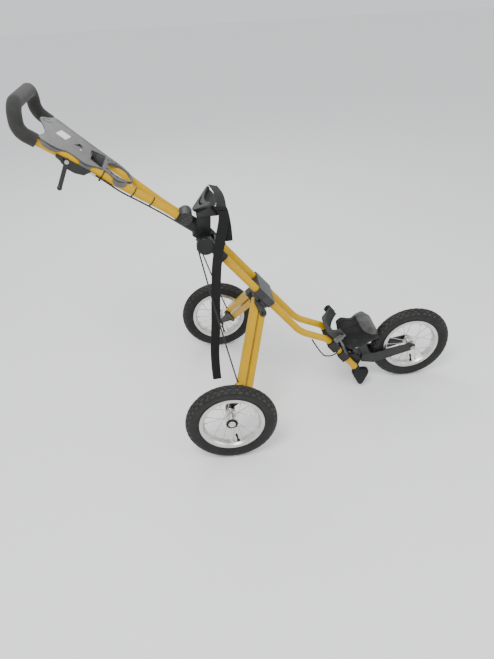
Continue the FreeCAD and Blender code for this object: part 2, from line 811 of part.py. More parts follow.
def make_upper_cradle():
    """Grey V-shaped plate with a hollow front edge and a curved slot."""
    body = new_body("upper_cradle")
    outline = new_sketch(body, "upper_cradle_outline")
    add_outline(outline, [(62, -76), (72, -70, 69, -76), (72, 70, 50, 0), (62, 76, 69, 76), (2, 15), (2, -15, -3, 0)])
    pad(body, outline, 9, reverse=True)
    slot = new_sketch(body, "upper_cradle_slot")
    add_outline(slot, [(44, 32), (44, -32, 34, 0), (37, -32), (37, 32, 26, 0)])
    pocket(body, slot, 40)
    finish_node(body, "upper_cradle", cradle_placement())


def make_cradle_body():
    """Black wedge under the cradle plate, deepest at the front."""
    shape_node("cradle_body", cradle_wedge())


make_upper_cradle()
make_cradle_body()


# ---------------------------------------------------------------- straps

def ribbon(stations, thickness):
    """Webbing lofted through stations of centre, half-width vector and face normal."""
    sections = []
    for centre, half_width, normal in stations:
        depth = normal * (thickness / 2)
        corners = [centre + half_width + depth, centre - half_width + depth,
                   centre - half_width - depth, centre + half_width - depth]
        sections.append(Part.makePolygon(corners + corners[:1]))
    return Part.makeLoft(sections, True, True)


def make_straps():
    """Band across the cradle's arms, and the free end that hangs from the right arm."""
    half = size("strap_width / 2")
    thick = size("strap_thickness")
    placement = cradle_placement()
    top = placement.multVec(Vector(73.2 + thick, 0, -3))
    lean = Vector(0.88, 0, -0.475)
    face = Vector(0.475, 0, 0.88)
    ends = [(top + lean * half + Vector(0, side * 80, 0), lean * half, face) for side in (-1, 1)]
    shape_node("bag_strap", ribbon(ends, thick))
    hang = [(30, -92, 806), (27, -97, 770), (16, -100, 715), (5, -99, 660), (-2, -90, 610), (-7, -84, 555),
            (-14, -83, 480), (-20, -84, 400), (-27, -85, 330), (-33, -86, 270), (-35, -86, 200), (-34, -86, 145)]
    stations = []
    for index, (x, y, z) in enumerate(hang):
        after = hang[min(index + 1, len(hang) - 1)]
        before = hang[max(index - 1, 0)]
        run = (at(*after) - at(*before)).normalize()
        across = run.cross(Vector(0, 1, 0)).normalize()
        stations.append((at(x, y, z), across * half, run.cross(across).normalize()))
    short = [(at(40, -86, 800), Vector(half * 0.8, 0, 0), Vector(0, 1, 0)),
             (at(43, -88, 750), Vector(half * 0.7, 0, 0), Vector(0, 1, 0)),
             (at(42, -88, 708), Vector(half * 0.6, 0, 3), Vector(0, 1, 0))]
    shape_node("strap_tail", Part.makeCompound([ribbon(stations, thick), ribbon(short, thick)]))


make_straps()


# ---------------------------------------------------------------- lower bag cradle

def make_lower_cradle():
    """Grey cross piece on the knee, with an arm up each side of the bag."""
    frame = lower_frame()
    body = new_body("lower_cradle")
    outline = new_sketch(body, "lower_cradle_outline", "YZ_Plane")
    add_outline(outline, [(58, 20), (78, 62), (70, 66, 75, 67), (-70, 66, 0, 22), (-78, 62, -75, 67), (-58, 20),
                          (-40, 15.2), (40, 15.2)])
    pad(body, outline, 40)
    finish_node(body, "lower_cradle", Placement(frame.Base - LOWER_DIR * 22 + LOWER_NORMAL * 1.5, frame.Rotation))


def make_strap_roll():
    """Rolled end of the lower strap on the left arm, and its buckle on the right one."""
    frame = lower_frame()
    roll = Part.makeCylinder(15, 36, Vector(-18, 94, 52), Vector(1, 0, 0))
    roll.transformShape(frame.toMatrix())
    shape_node("strap_roll", roll)
    body = block(Vector(-6, -84, 24), Vector(16, -79.5, 58), frame)
    lever = block(Vector(0, -88, 34), Vector(9, -84, 70), frame)
    shape_node("strap_buckle", body.fuse(lever).removeSplitter())


def make_bag_rest_pad():
    """Padded pouch below the bag, its outline in the XZ plane."""
    corners = [(441, 262), (464, 284), (505, 284), (556, 298), (590, 270), (595, 236), (545, 202), (490, 182), (456, 208)]
    solid = slab([(x - SET_BACK, z) for x, z in corners], -66, 66)
    solid = solid.makeFillet(10, solid.Edges)
    shape_node("bag_rest_pad", solid)


make_lower_cradle()
make_strap_roll()
make_bag_rest_pad()


# ---------------------------------------------------------------- handle

SLOPE = math.radians(size("handle_slope"))
HANDLE_DIR = Vector(-math.cos(SLOPE), 0, math.sin(SLOPE))
HANDLE_NORMAL = Vector(math.sin(SLOPE), 0, math.cos(SLOPE))
RISE = size("handle_rise")
YOKE_Y = size("yoke_offset")
SPREAD = size("handle_spread")
YOKE_END = 114
PART_START = 166


def handle_frame():
    """X up the handle from the pivot, Y to the cart's right, Z out of the handle's top."""
    return axes_placement(at(PIVOT[0], 0, PIVOT[1]), HANDLE_DIR, HANDLE_NORMAL)


def on_handle(along, right, above):
    """A point of the handle's frame in the document's frame."""
    return handle_frame().multVec(Vector(along, right, above))


def tube_side(along):
    """How far a handle tube stands from the middle plane."""
    return YOKE_Y + SPREAD * max(0, along - PART_START)


def grip_corners(first):
    """Route of the handle tube, from a point on the right arm round to the left one."""
    right = [(first, tube_side(first), RISE), (612, tube_side(612), RISE), (651, 108, 64)]
    left = [(along, -side, above) for along, side, above in reversed(right)]
    return [Vector(*corner) for corner in right + left]


def make_handle_tube():
    """One bent tube: up the right arm, round the grip and back to the yoke."""
    loop = grip_corners(PART_START)
    points = [Vector(32, YOKE_Y, RISE)] + loop + [Vector(32, -YOKE_Y, RISE)]
    route = bent_route(points, (300, 45, 38, 38, 45, 300))
    tube = swept_tube(route, TUBE_R, size("tube_radius - tube_wall"))
    shape_node("handle_tube", tube, handle_frame())


def make_foam_grip():
    loop = grip_corners(564)
    route = bent_route(loop, (45, 38, 38, 45))
    outer = swept_bar(route, size("foam_radius"))
    shape_node("foam_grip", outer.cut(swept_bar(route, size("tube_radius + 0.1"))), handle_frame())


def make_yoke():
    """Black sleeve over both handle tubes, with the pivot barrel and a round boss."""
    half = YOKE_HALF_WIDTH
    body = block(Vector(26, -half, RISE - 16.5), Vector(YOKE_END, half, RISE + 16.5))
    body = body.makeFillet(9, [edge for edge in body.Edges if edge.Length > 80])
    neck = block(Vector(2, -half, -14), Vector(40, half, 22))
    barrel = Part.makeCylinder(20, 2 * half, Vector(0, -half, 0), Vector(0, 1, 0))
    boss = Part.makeCylinder(21, 2 * half + 2, Vector(90, -half - 1, 24), Vector(0, 1, 0))
    solid = body.fuse([neck, barrel, boss])
    cuts = [Part.makeCylinder(TUBE_R + 0.1, 120, Vector(31, sign * YOKE_Y, RISE), Vector(1, 0, 0)) for _, sign in SIDES]
    cuts.append(Part.makeCylinder(size("bolt_radius + fit_gap"), 100, Vector(0, -50, 0), Vector(0, 1, 0)))
    shape_node("handle_yoke", solid.cut(cuts).removeSplitter(), handle_frame())


def make_yoke_cover():
    """Disc on the boss with four recesses, and a screw in each."""
    face = Vector(90, YOKE_HALF_WIDTH + 1.1, 24)
    disc = Part.makeCylinder(21, 4, face, Vector(0, 1, 0))
    screws = []
    for quarter in range(4):
        angle = math.radians(45 + 90 * quarter)
        spot = face + Vector(11.5 * math.cos(angle), 0, 11.5 * math.sin(angle))
        recess = Part.makeCylinder(5.5, 10, spot + Vector(0, 1.5, 0), Vector(0, 1, 0))
        disc = disc.cut(recess)
        screws.append(Part.makeCylinder(3.2, 1.8, spot + Vector(0, 1.6, 0), Vector(0, 1, 0)))
    shape_node("yoke_cover", disc, handle_frame())
    shape_node("yoke_screws", Part.makeCompound(screws), handle_frame())


def handle_tube_axis(sign, first, last):
    """Two points on one straight handle tube."""
    return Vector(first, sign * tube_side(first), RISE), Vector(last, sign * tube_side(last), RISE)


CUP_ALONG = 328
CONSOLE_LOW = RISE + 12.7 + 0.4


def make_console():
    """Moulded plate over the handle tubes, with ears round them, a tray hole and a cup hole."""
    wall = size("console_wall")
    rim_top = CONSOLE_LOW + wall
    outline = [(278, 0), (292, 34), (330, 50), (420, 69), (560, 104), (555, 90), (555, 45), (563, 19), (574, -3),
               (586, -26), (587, -52), (573, -73), (562, -84), (561, -104), (420, -69), (330, -50), (292, -34)]
    points = [Vector(x, y, CONSOLE_LOW) for x, y in outline]
    solid = Part.Face(Part.makePolygon(points + points[:1])).extrude(Vector(0, 0, wall))
    ring = Part.makeCylinder(50, wall + 6, Vector(CUP_ALONG, 0, CONSOLE_LOW - 6), Vector(0, 0, 1))
    solid = solid.fuse(ring)
    cuts = []
    for _, sign in SIDES:
        for middle, length in ((532, 50), (424, 48), (325, 40)):
            first, last = handle_tube_axis(sign, middle - length / 2, middle + length / 2)
            solid = solid.fuse(rod(first, last, TUBE_R + 0.4 + wall))
        first, last = handle_tube_axis(sign, 230, 600)
        cuts.append(rod(first, last, TUBE_R + 0.3))
        low, high = sorted((sign * 0, sign * 200))
        cuts.append(block(Vector(200, low, -60), Vector(640, high, RISE + 1)))
    cuts.append(Part.makeCylinder(size("cup_radius"), 60, Vector(CUP_ALONG, 0, 0), Vector(0, 0, 1)))
    cuts.append(block(Vector(380, -54, 0), Vector(420, 54, 60)))
    cuts.append(block(Vector(446, -2, rim_top - 1.6), Vector(474, 14, 60)))
    shape_node("console", solid.cut(cuts).removeSplitter(), handle_frame())


def make_console_tray():
    """Shallow bin under the tray hole, between the tubes."""
    outer = block(Vector(378.4, -45, -6), Vector(423, 45, CONSOLE_LOW - 0.2))
    inner = block(Vector(380.9, -42.5, -3.5), Vector(420.5, 42.5, 40))
    shape_node("console_tray", outer.cut(inner), handle_frame())


def brake_frame():
    """X up the right handle tube, Y away from the middle plane, Z as the handle's, on the tube's axis."""
    lean = math.atan(SPREAD)
    start = Vector(409, tube_side(409), RISE)
    local = Placement(start, Rotation(Vector(0, 0, 1), math.degrees(lean)))
    return handle_frame().multiply(local)


LEVER_PIVOT = (70, -5)
LEVER_END = (52, -86)


def make_brake_bracket():
    """Plate beside the right handle tube that carries the parking-brake lever."""
    corners = [(0, -4), (10, -20), (34, -27), (62, -26), (84, -14), (101, -9), (101, 0.6), (0, 0.6)]
    plate = slab(corners, 13.4, 17.4)
    shelf = block(Vector(20, 2, -19), Vector(80, 15, -14))
    pivot = rod(Vector(LEVER_PIVOT[0], 15, LEVER_PIVOT[1]), Vector(LEVER_PIVOT[0], 26.5, LEVER_PIVOT[1]),
                size("pin_radius"))
    shape_node("brake_bracket", plate.fuse([shelf, pivot]).removeSplitter(), brake_frame())


def make_brake_lever():
    """Hanging lever with a ball at its end."""
    low = Vector(LEVER_END[0], 21.5, LEVER_END[1])
    high = Vector(LEVER_PIVOT[0], 21.5, LEVER_PIVOT[1])
    side = Vector(0, 1, 0)
    plate = stadium(high, low, 6, side, -3, 3)
    hub = rod(high - side * 3.6, high + side * 3.6, 9)
    ball = Part.makeSphere(7.5, low)
    hole = rod(high - side * 10, high + side * 10, size("pin_radius + fit_gap"))
    shape_node("brake_lever", plate.fuse([hub, ball]).cut(hole).removeSplitter(), brake_frame())


BARREL_START = Vector(-0.2, 17.2, -4)
BARREL_END = Vector(-16, 17.2, -4)


def make_cable_barrel():
    """Adjuster barrel where the brake cable leaves the bracket."""
    barrel = rod(BARREL_START, BARREL_END, 3.6)
    shape_node("cable_barrel", barrel, brake_frame())


def make_handle_cable():
    """Brake cable from the barrel along the underside of the right tube into the yoke."""
    below = RISE - 16.5 - 3.1
    to_handle = handle_frame().inverse().multiply(brake_frame())
    start = to_handle.multVec(BARREL_END - Vector(0.6, 0, 0))
    ahead = to_handle.multVec(Vector(-60, 15, -8))
    points = [start, ahead, Vector(310, tube_side(310), below - 1), Vector(230, tube_side(230), below),
              Vector(150, YOKE_Y, below), Vector(41, YOKE_Y - 4, below)]
    route = bent_route(points, (160, 160, 300, 300))
    shape_node("handle_cable", swept_bar(route, size("cable_radius")), handle_frame())


make_handle_tube()
make_foam_grip()
make_yoke()
make_yoke_cover()
make_console()
make_console_tray()
make_brake_bracket()
make_brake_lever()
make_cable_barrel()
make_handle_cable()


# ---------------------------------------------------------------- brake cables

def make_brake_cables():
    """Straight pull from the knuckle to each leg end."""
    for side, sign in SIDES:
        along, across, _ = leg_axes(sign)
        foot = hinge_points(sign)[0] + along * 290 - across * 16
        top = at(CABLE_TOP[0], sign * CABLE_TOP[1], CABLE_TOP[2])
        shape_node(f"brake_cable_{side}", rod(top, foot, size("cable_radius")))


def make_front_cable():
    """Loop of the front brake cable, out of the right tube's underside and back to the clamp."""
    corners = [(333, -52, 258), (345, -58, 236), (363, -62, 206), (380, -64, 184), (402, -64, 180),
               (422, -65.5, 187), (431, -64.5, 200)]
    route = bent_route([at(*corner) for corner in corners], (28, 40, 18, 18, 20))
    shape_node("front_cable", swept_bar(route, size("cable_radius")))


make_brake_cables()
make_front_cable()


# ---------------------------------------------------------------- checks and files

doc.recompute()
for item in doc.Objects:
    if "Invalid" in item.State or "Error" in item.State:
        raise RuntimeError(f"{item.Label} failed: {item.State}")
for node in NODES:
    if node.Shape.isNull() or not node.Shape.isValid():
        raise RuntimeError(f"{node.Label} has no valid shape")
os.makedirs("parts", exist_ok=True)
for node in NODES:
    node.Shape.exportStep(f"parts/{node.Label}.step")
whole = Part.makeCompound([node.Shape for node in NODES]).optimalBoundingBox(False)
print(len(NODES), "sub-parts")
print("x", round(whole.XMin, 2), round(whole.XMax, 2), "y", round(whole.YMin, 2), round(whole.YMax, 2),
      "z", round(whole.ZMin, 2), round(whole.ZMax, 2))
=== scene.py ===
import json
import math

import bmesh
import bpy
from mathutils import Matrix, Vector
from mathutils.bvhtree import BVHTree


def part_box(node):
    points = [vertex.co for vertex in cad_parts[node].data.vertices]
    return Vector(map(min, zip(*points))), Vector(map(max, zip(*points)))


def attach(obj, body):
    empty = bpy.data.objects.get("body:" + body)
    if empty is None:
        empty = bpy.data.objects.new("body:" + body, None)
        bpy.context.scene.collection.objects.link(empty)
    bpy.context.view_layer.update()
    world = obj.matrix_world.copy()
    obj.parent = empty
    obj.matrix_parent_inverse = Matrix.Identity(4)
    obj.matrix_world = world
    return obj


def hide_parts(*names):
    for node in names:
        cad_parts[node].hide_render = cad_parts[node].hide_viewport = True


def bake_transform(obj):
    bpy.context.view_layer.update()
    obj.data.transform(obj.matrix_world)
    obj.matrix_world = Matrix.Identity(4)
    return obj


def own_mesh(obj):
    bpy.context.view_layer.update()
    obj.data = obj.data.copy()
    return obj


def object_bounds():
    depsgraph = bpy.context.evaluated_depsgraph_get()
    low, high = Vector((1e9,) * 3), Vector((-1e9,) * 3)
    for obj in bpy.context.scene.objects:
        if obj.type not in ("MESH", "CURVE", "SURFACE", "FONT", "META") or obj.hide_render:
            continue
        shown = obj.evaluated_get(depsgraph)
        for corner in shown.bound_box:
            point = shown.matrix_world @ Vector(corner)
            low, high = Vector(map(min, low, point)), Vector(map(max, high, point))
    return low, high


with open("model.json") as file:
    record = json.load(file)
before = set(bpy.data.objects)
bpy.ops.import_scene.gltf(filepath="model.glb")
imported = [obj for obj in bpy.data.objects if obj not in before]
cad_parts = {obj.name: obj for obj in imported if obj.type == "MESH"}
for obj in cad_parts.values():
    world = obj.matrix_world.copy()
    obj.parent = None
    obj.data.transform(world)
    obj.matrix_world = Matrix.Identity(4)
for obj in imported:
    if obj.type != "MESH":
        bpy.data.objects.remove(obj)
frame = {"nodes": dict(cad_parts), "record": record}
CAD_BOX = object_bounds()

RECORD = frame["record"]
NODES = frame["nodes"]
JOINTS = {joint["name"]: joint for joint in RECORD["behaviour"]["joints"]}
MOUNTS = {mount["name"]: mount for mount in RECORD["mounts"]}
SIDES = (("right", -1), ("left", 1))
TURN = 2 * math.pi


def joint_at(name):
    return Vector(JOINTS[name]["pos_m"])


# ---- the frame's own places

PIVOT = joint_at("handle_fold")
HANDLE_UP = Vector(MOUNTS["cup_hole"]["axis"])
HANDLE_ALONG = Vector((-HANDLE_UP.z, 0, HANDLE_UP.x))
LEFT = Vector((0, 1, 0))
REAR_X = joint_at("wheel_spin_right").x
FLOOR_Z = CAD_BOX[0].z
TUBE_RADIUS = 0.0127
HANDLE_RISE = 0.012


def cart(x, y, z):
    """A point given in millimetres ahead of the rear axle, to the left, and above the floor."""
    return Vector((REAR_X + x / 1000, y / 1000, z / 1000))


def on_handle(along, left, above):
    """A point given in millimetres up the handle from its pivot, to the left, and out of its top."""
    return PIVOT + (HANDLE_ALONG * along + LEFT * left + HANDLE_UP * above) / 1000


def tube_side(along):
    """How far a handle tube stands from the middle, in millimetres."""
    return 14 + 0.2238 * max(0, along - 166)


# ---- camera, floor and light

def link_object(name, data):
    item = bpy.data.objects.new(name, data)
    bpy.context.scene.collection.objects.link(item)
    return item


def make_camera():
    """The photograph's camera: right of the cart, above it, looking down at 35 degrees."""
    yaw, pitch, roll = 0.0815, 0.6151, -0.0512
    ahead = Vector((math.sin(yaw) * math.cos(pitch), math.cos(yaw) * math.cos(pitch), -math.sin(pitch)))
    level = Vector((math.cos(yaw), -math.sin(yaw), 0))
    top = level.cross(ahead)
    right = level * math.cos(roll) + top * math.sin(roll)
    up = top * math.cos(roll) - level * math.sin(roll)
    turn = Matrix((right, up, -ahead)).transposed().to_4x4()
    data = bpy.data.cameras.new("camera")
    data.sensor_fit = "VERTICAL"
    data.sensor_height = 36
    data.lens = 29.13
    camera = link_object("camera", data)
    camera.matrix_world = Matrix.Translation(cart(-38.4, -1630.7, 1452.3)) @ turn
    bpy.context.scene.camera = camera


def add_light(name, spot, target, size, power):
    data = bpy.data.lights.new(name, "AREA")
    data.shape = "DISK"
    data.size = size
    data.energy = power
    aim = (target - spot).to_track_quat("-Z", "Y").to_matrix().to_4x4()
    link_object(name, data).matrix_world = Matrix.Translation(spot) @ aim


def make_studio():
    middle = Vector((0, 0, 0.45))
    add_light("key_light", Vector((-0.9, -1.6, 3.2)), middle, 1.5, 70)
    add_light("fill_light", Vector((2.2, -1.9, 1.9)), middle, 2.2, 22)
    add_light("back_light", Vector((-0.5, 2.4, 2.4)), middle, 2.0, 22)
    world = bpy.data.worlds.new("studio")
    world.use_nodes = True
    sky = world.node_tree.nodes["Background"]
    sky.inputs["Color"].default_value = (0.96, 0.98, 1, 1)
    sky.inputs["Strength"].default_value = 0.95
    bpy.context.scene.world = world


def make_floor():
    mesh = bpy.data.meshes.new("floor")
    reach = 14
    corners = [(x * reach, y * reach, FLOOR_Z) for x, y in ((-1, -1), (1, -1), (1, 1), (-1, 1))]
    mesh.from_pydata(corners, [], [(0, 1, 2, 3)])
    floor = link_object("floor", mesh)
    material, _, _, shader = start_material("floor_paint")
    shader.inputs["Base Color"].default_value = (0.94, 0.94, 0.94, 1)
    shader.inputs["Roughness"].default_value = 0.75
    mesh.materials.append(material)


# ---- materials

def grey(value):
    return (value, value, value)


def put(node, **values):
    """Set inputs of a node by name, with _ for each space."""
    for name, value in values.items():
        node.inputs[name.replace("_", " ")].default_value = value


def start_material(name):
    material = bpy.data.materials.new(name)
    material.use_nodes = True
    tree = material.node_tree
    return material, tree.nodes, tree.links, tree.nodes["Principled BSDF"]


def noise(nodes, links, scale, detail=3, rough=0.55):
    """Noise in the object's own coordinates, which are metres."""
    place = nodes.new("ShaderNodeTexCoord")
    texture = nodes.new("ShaderNodeTexNoise")
    put(texture, Scale=scale, Detail=detail, Roughness=rough)
    links.new(place.outputs["Object"], texture.inputs["Vector"])
    return texture.outputs["Fac"]


def ramp(nodes, links, source, stops):
    """Colours at places along a value."""
    node = nodes.new("ShaderNodeValToRGB")
    elements = node.color_ramp.elements
    while len(elements) < len(stops):
        elements.new(0.5)
    for element, (place, colour) in zip(elements, stops):
        element.position = place
        element.color = (*colour, 1)
    links.new(source, node.inputs["Fac"])
    return node.outputs["Color"]


def spread(nodes, links, source, low, high):
    """A value stretched to run from low to high."""
    node = nodes.new("ShaderNodeMapRange")
    put(node, From_Min=0.3, From_Max=0.7, To_Min=low, To_Max=high)
    links.new(source, node.inputs["Value"])
    return node.outputs["Result"]


def mix(nodes, links, amount, first, second, kind="MIX"):
    node = nodes.new("ShaderNodeMix")
    node.data_type = "RGBA"
    node.blend_type = kind
    for source, socket in ((amount, 0), (first, 6), (second, 7)):
        if isinstance(source, (int, float)):
            node.inputs[socket].default_value = source
        elif isinstance(source, tuple):
            node.inputs[socket].default_value = (*source, 1)
        else:
            links.new(source, node.inputs[socket])
    return node.outputs[2]


def bump(nodes, links, height, strength, distance, normal=None):
    node = nodes.new("ShaderNodeBump")
    put(node, Strength=strength, Distance=distance)
    links.new(height, node.inputs["Height"])
    if normal is not None:
        links.new(normal, node.inputs["Normal"])
    return node.outputs["Normal"]


def soft_edge(nodes, radius):
    node = nodes.new("ShaderNodeBevel")
    node.samples = 4
    put(node, Radius=radius)
    return node.outputs["Normal"]


def surface(name, colour, other, rough, mottle=14, grain=(900, 0.15, 0.0004), metallic=0.0, coat=0.0,
            edge=0.0, specular=0.5):
    """A finish with a slow drift between two colours, uneven gloss and a fine grain."""
    material, nodes, links, shader = start_material(name)
    drift = noise(nodes, links, mottle)
    links.new(ramp(nodes, links, drift, [(0.35, colour), (0.68, other)]), shader.inputs["Base Color"])
    smear = noise(nodes, links, mottle * 4, 5)
    links.new(spread(nodes, links, smear, rough * 0.82, rough * 1.18), shader.inputs["Roughness"])
    put(shader, Metallic=metallic, Coat_Weight=coat, Coat_Roughness=0.08,
        Specular_IOR_Level=specular)
    rounded = soft_edge(nodes, edge) if edge else None
    scale, strength, distance = grain
    fine = noise(nodes, links, scale, 2)
    links.new(bump(nodes, links, fine, strength, distance, rounded), shader.inputs["Normal"])
    return material


def yellow_material():
    """Glossy yellow enamel with faint scuffs and a few dull marks."""
    material, nodes, links, shader = start_material("yellow_paint")
    drift = noise(nodes, links, 9)
    base = ramp(nodes, links, drift, [(0.3, (0.5, 0.285, 0)), (0.7, (0.57, 0.335, 0))])
    scuff = noise(nodes, links, 160, 8, 0.72)
    marks = ramp(nodes, links, scuff, [(0.66, grey(0)), (0.72, grey(1))])
    links.new(mix(nodes, links, marks, base, (0.34, 0.2, 0.004)), shader.inputs["Base Color"])
    links.new(spread(nodes, links, noise(nodes, links, 45, 5), 0.24, 0.38), shader.inputs["Roughness"])
    put(shader, Specular_IOR_Level=0.2, Coat_Weight=0.08, Coat_Roughness=0.1)
    links.new(bump(nodes, links, noise(nodes, links, 420, 1), 0.08, 0.0006), shader.inputs["Normal"])
    return material


def tyre_material():
    """Black rubber, dusty on the tread; the tops of the blocks lighter brown-grey, partly scuffs and
    partly painted highlight where light falls on them.
    """
    material, nodes, links, shader = start_material("tyre_rubber")
    wear_and_highlight = nodes.new("ShaderNodeAttribute")
    wear_and_highlight.attribute_name = "wear_and_highlight"
    dust = noise(nodes, links, 60, 6, 0.7)
    patch = ramp(nodes, links, dust, [(0.38, grey(0.12)), (0.62, grey(1))])
    # Wear and painted highlight, broken up by dust patches, sets how far the rubber turns brown-grey.
    amount = mix(nodes, links, 1.0, wear_and_highlight.outputs["Color"], patch, "MULTIPLY")
    rubber = ramp(nodes, links, noise(nodes, links, 25), [(0.3, grey(0.006)), (0.7, grey(0.012))])
    links.new(mix(nodes, links, amount, rubber, (0.05, 0.045, 0.039)), shader.inputs["Base Color"])
    put(shader, Specular_IOR_Level=0.35)
    links.new(spread(nodes, links, dust, 0.48, 0.74), shader.inputs["Roughness"])
    links.new(bump(nodes, links, noise(nodes, links, 700, 4), 0.35, 0.0005), shader.inputs["Normal"])
    return material


def foam_material():
    """Closed-cell grip foam: fine pores and a dull sheen."""
    material, nodes, links, shader = start_material("grip_foam")
    shade = noise(nodes, links, 30, 4)
    links.new(ramp(nodes, links, shade, [(0.3, (0.02, 0.02, 0.018)), (0.7, (0.034, 0.034, 0.031))]),
              shader.inputs["Base Color"])
    put(shader, Roughness=0.82, Specular_IOR_Level=0.3, Sheen_Weight=0.12)
    place = nodes.new("ShaderNodeTexCoord")
    cells = nodes.new("ShaderNodeTexVoronoi")
    put(cells, Scale=900)
    links.new(place.outputs["Object"], cells.inputs["Vector"])
    links.new(bump(nodes, links, cells.outputs["Distance"], 0.4, 0.0006), shader.inputs["Normal"])
    return material


def woven(nodes, links, layout, bands, distortion, detail, operation):
    """Two sets of bands, as (direction, scale), crossed into one height."""
    weave = nodes.new("ShaderNodeMath")
    weave.operation = operation
    for socket, (direction, scale) in enumerate(bands):
        wave = nodes.new("ShaderNodeTexWave")
        wave.bands_direction = direction
        put(wave, Scale=scale, Distortion=distortion, Detail=detail)
        links.new(layout, wave.inputs["Vector"])
        links.new(wave.outputs["Fac"], weave.inputs[socket])
    return weave.outputs[0]


def webbing_material():
    """Woven black webbing: crosswise ribs and a finer lengthwise twill, laid along the strap."""
    material, nodes, links, shader = start_material("webbing")
    layout = nodes.new("ShaderNodeUVMap").outputs["UV"]
    weave = woven(nodes, links, layout, (("Y", 210), ("X", 130)), 0.6, 1, "MULTIPLY")
    # Colour follows the weave's height, darker in its valleys: painted shade.
    shade = ramp(nodes, links, weave, [(0.1, grey(0.005)), (0.8, grey(0.012))])
    links.new(shade, shader.inputs["Base Color"])
    put(shader, Roughness=0.78, Specular_IOR_Level=0.25, Sheen_Weight=0.05)
    links.new(bump(nodes, links, weave, 0.35, 0.0004), shader.inputs["Normal"])
    return material


def fabric_material(name, dark, light, sheen):
    """Close plain weave with lint and faded folds."""
    material, nodes, links, shader = start_material(name)
    place = nodes.new("ShaderNodeTexCoord").outputs["Object"]
    weave = woven(nodes, links, place, (("X", 320), ("Z", 320)), 1.2, 2, "MAXIMUM")
    fade = noise(nodes, links, 35, 5)
    base = ramp(nodes, links, fade, [(0.34, dark), (0.72, light)])
    lint = ramp(nodes, links, noise(nodes, links, 480, 3), [(0.68, grey(0)), (0.74, grey(0.35))])
    links.new(mix(nodes, links, lint, base, grey(0.3)), shader.inputs["Base Color"])
    put(shader, Roughness=0.88, Specular_IOR_Level=0.25, Sheen_Weight=sheen)
    links.new(bump(nodes, links, weave, 0.35, 0.0004), shader.inputs["Normal"])
    return material


MATERIALS = {
    "yellow_paint": yellow_material(),
    "black_plastic": surface("black_plastic", grey(0.006), grey(0.012), 0.44, edge=0.0012,
                             specular=0.35),
    "grey_plastic": surface("grey_plastic", (0.088, 0.085, 0.087), (0.112, 0.108, 0.11), 0.4, 20,
                            edge=0.0012, specular=0.4),
    "dark_grey_plastic": surface("dark_grey_plastic", (0.02, 0.021, 0.02), (0.036, 0.037, 0.035),
                                 0.46, 22, edge=0.0012, specular=0.4),
    "casting_grey": surface("casting_grey", grey(0.022), grey(0.042), 0.42, 30,
                            (260, 0.3, 0.0006), 0.2, edge=0.0012),
    "black_steel": surface("black_steel", grey(0.006), grey(0.012), 0.32, 30,
                           (300, 0.1, 0.0004), coat=0.15, edge=0.0008, specular=0.4),
    "fastener_steel": surface("fastener_steel", (0.42, 0.41, 0.4), (0.58, 0.57, 0.55), 0.26, 60,
                              (700, 0.1, 0.0002), 1.0, edge=0.0006),
    "alloy": surface("alloy", (0.56, 0.55, 0.52), (0.7, 0.69, 0.65), 0.3, 26, (500, 0.06, 0.0002), 0.9),
    "spoke_steel": surface("spoke_steel", grey(0.5), grey(0.66), 0.22, 40, (900, 0.05, 0.0001), 1.0),
    "tyre_rubber": tyre_material(),
    "foot_rubber": surface("foot_rubber", grey(0.005), grey(0.01), 0.6, 40,
                           (520, 0.4, 0.0008), edge=0.0015, specular=0.3),
    "grip_foam": foam_material(),
    "pad_fabric": fabric_material("pad_fabric", grey(0.005), grey(0.013), 0.1),
    "panel_fabric": fabric_material("panel_fabric", (0.05, 0.052, 0.048), (0.095, 0.096, 0.09), 0.15),
    "webbing": webbing_material(),
    "cable_jacket": surface("cable_jacket", grey(0.005), grey(0.009), 0.4, 60, specular=0.4),
    "brass": surface("brass", (0.72, 0.52, 0.2), (0.86, 0.7, 0.36), 0.3, 80, metallic=1.0),
    "label_paper": surface("label_paper", (0.74, 0.75, 0.74), (0.82, 0.83, 0.82), 0.5, 60,
                           (300, 0.05, 0.0001)),
}

OWN_FINISH = {
    "bracket_band": "casting_grey", "upper_cradle": "dark_grey_plastic",
    "lower_cradle": "dark_grey_plastic", "console_tray": "grey_plastic",
    "yoke_screws": "casting_grey",
}


def paint(piece, name):
    piece.data.materials.clear()
    piece.data.materials.append(MATERIALS[name])


def paint_nodes():
    """Every CAD node that stays gets the finish of its slot."""
    for part in RECORD["subparts"]:
        node = NODES[part["node"]]
        material = MATERIALS[OWN_FINISH.get(part["node"], part["material_slot"])]
        for slot in node.material_slots:
            slot.material = material
        if not node.material_slots:
            node.data.materials.append(material)


# ---- mesh helpers

def add_mesh(name, shape, finish, body, slot=None, smooth=True, uvs=None):
    """A new piece that rides on a body; its slot is not used."""
    verts, faces = shape
    mesh = bpy.data.meshes.new(name)
    mesh.from_pydata([tuple(vert) for vert in verts], [], faces)
    mesh.validate()
    if uvs is not None:
        layer = mesh.uv_layers.new(name="UVMap")
        for loop in mesh.loops:
            layer.data[loop.index].uv = uvs[loop.vertex_index]
    for polygon in mesh.polygons:
        polygon.use_smooth = smooth
    piece = link_object(name, mesh)
    mesh.materials.append(MATERIALS[finish])
    if slot is None:
        slot = finish
    if body is not None:
        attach(piece, body)
    return piece


def join_parts(parts):
    """Several (verts, faces) as one."""
    verts, faces = [], []
    for part_verts, part_faces in parts:
        base = len(verts)
        verts.extend(part_verts)
        faces.extend([tuple(index + base for index in face) for face in part_faces])
    return verts, faces


def side_axes(direction):
    """Two directions square to one another and to the given one."""
    helper = Vector((0, 0, 1)) if abs(direction.z) < 0.9 else Vector((1, 0, 0))
    first = direction.cross(helper).normalized()
    return first, direction.cross(first).normalized()


def ring_faces(rows, count, caps=True):
    """Faces between rings of points, and across the first and the last ring."""
    faces = []
    for row in range(rows - 1):
        for step in range(count):
            after = (step + 1) % count
            faces.append((row * count + step, row * count + after,
                          (row + 1) * count + after, (row + 1) * count + step))
    if caps:
        last = (rows - 1) * count
        faces.append(tuple(range(count))[::-1])
        faces.append(tuple(range(last, last + count)))
    return faces


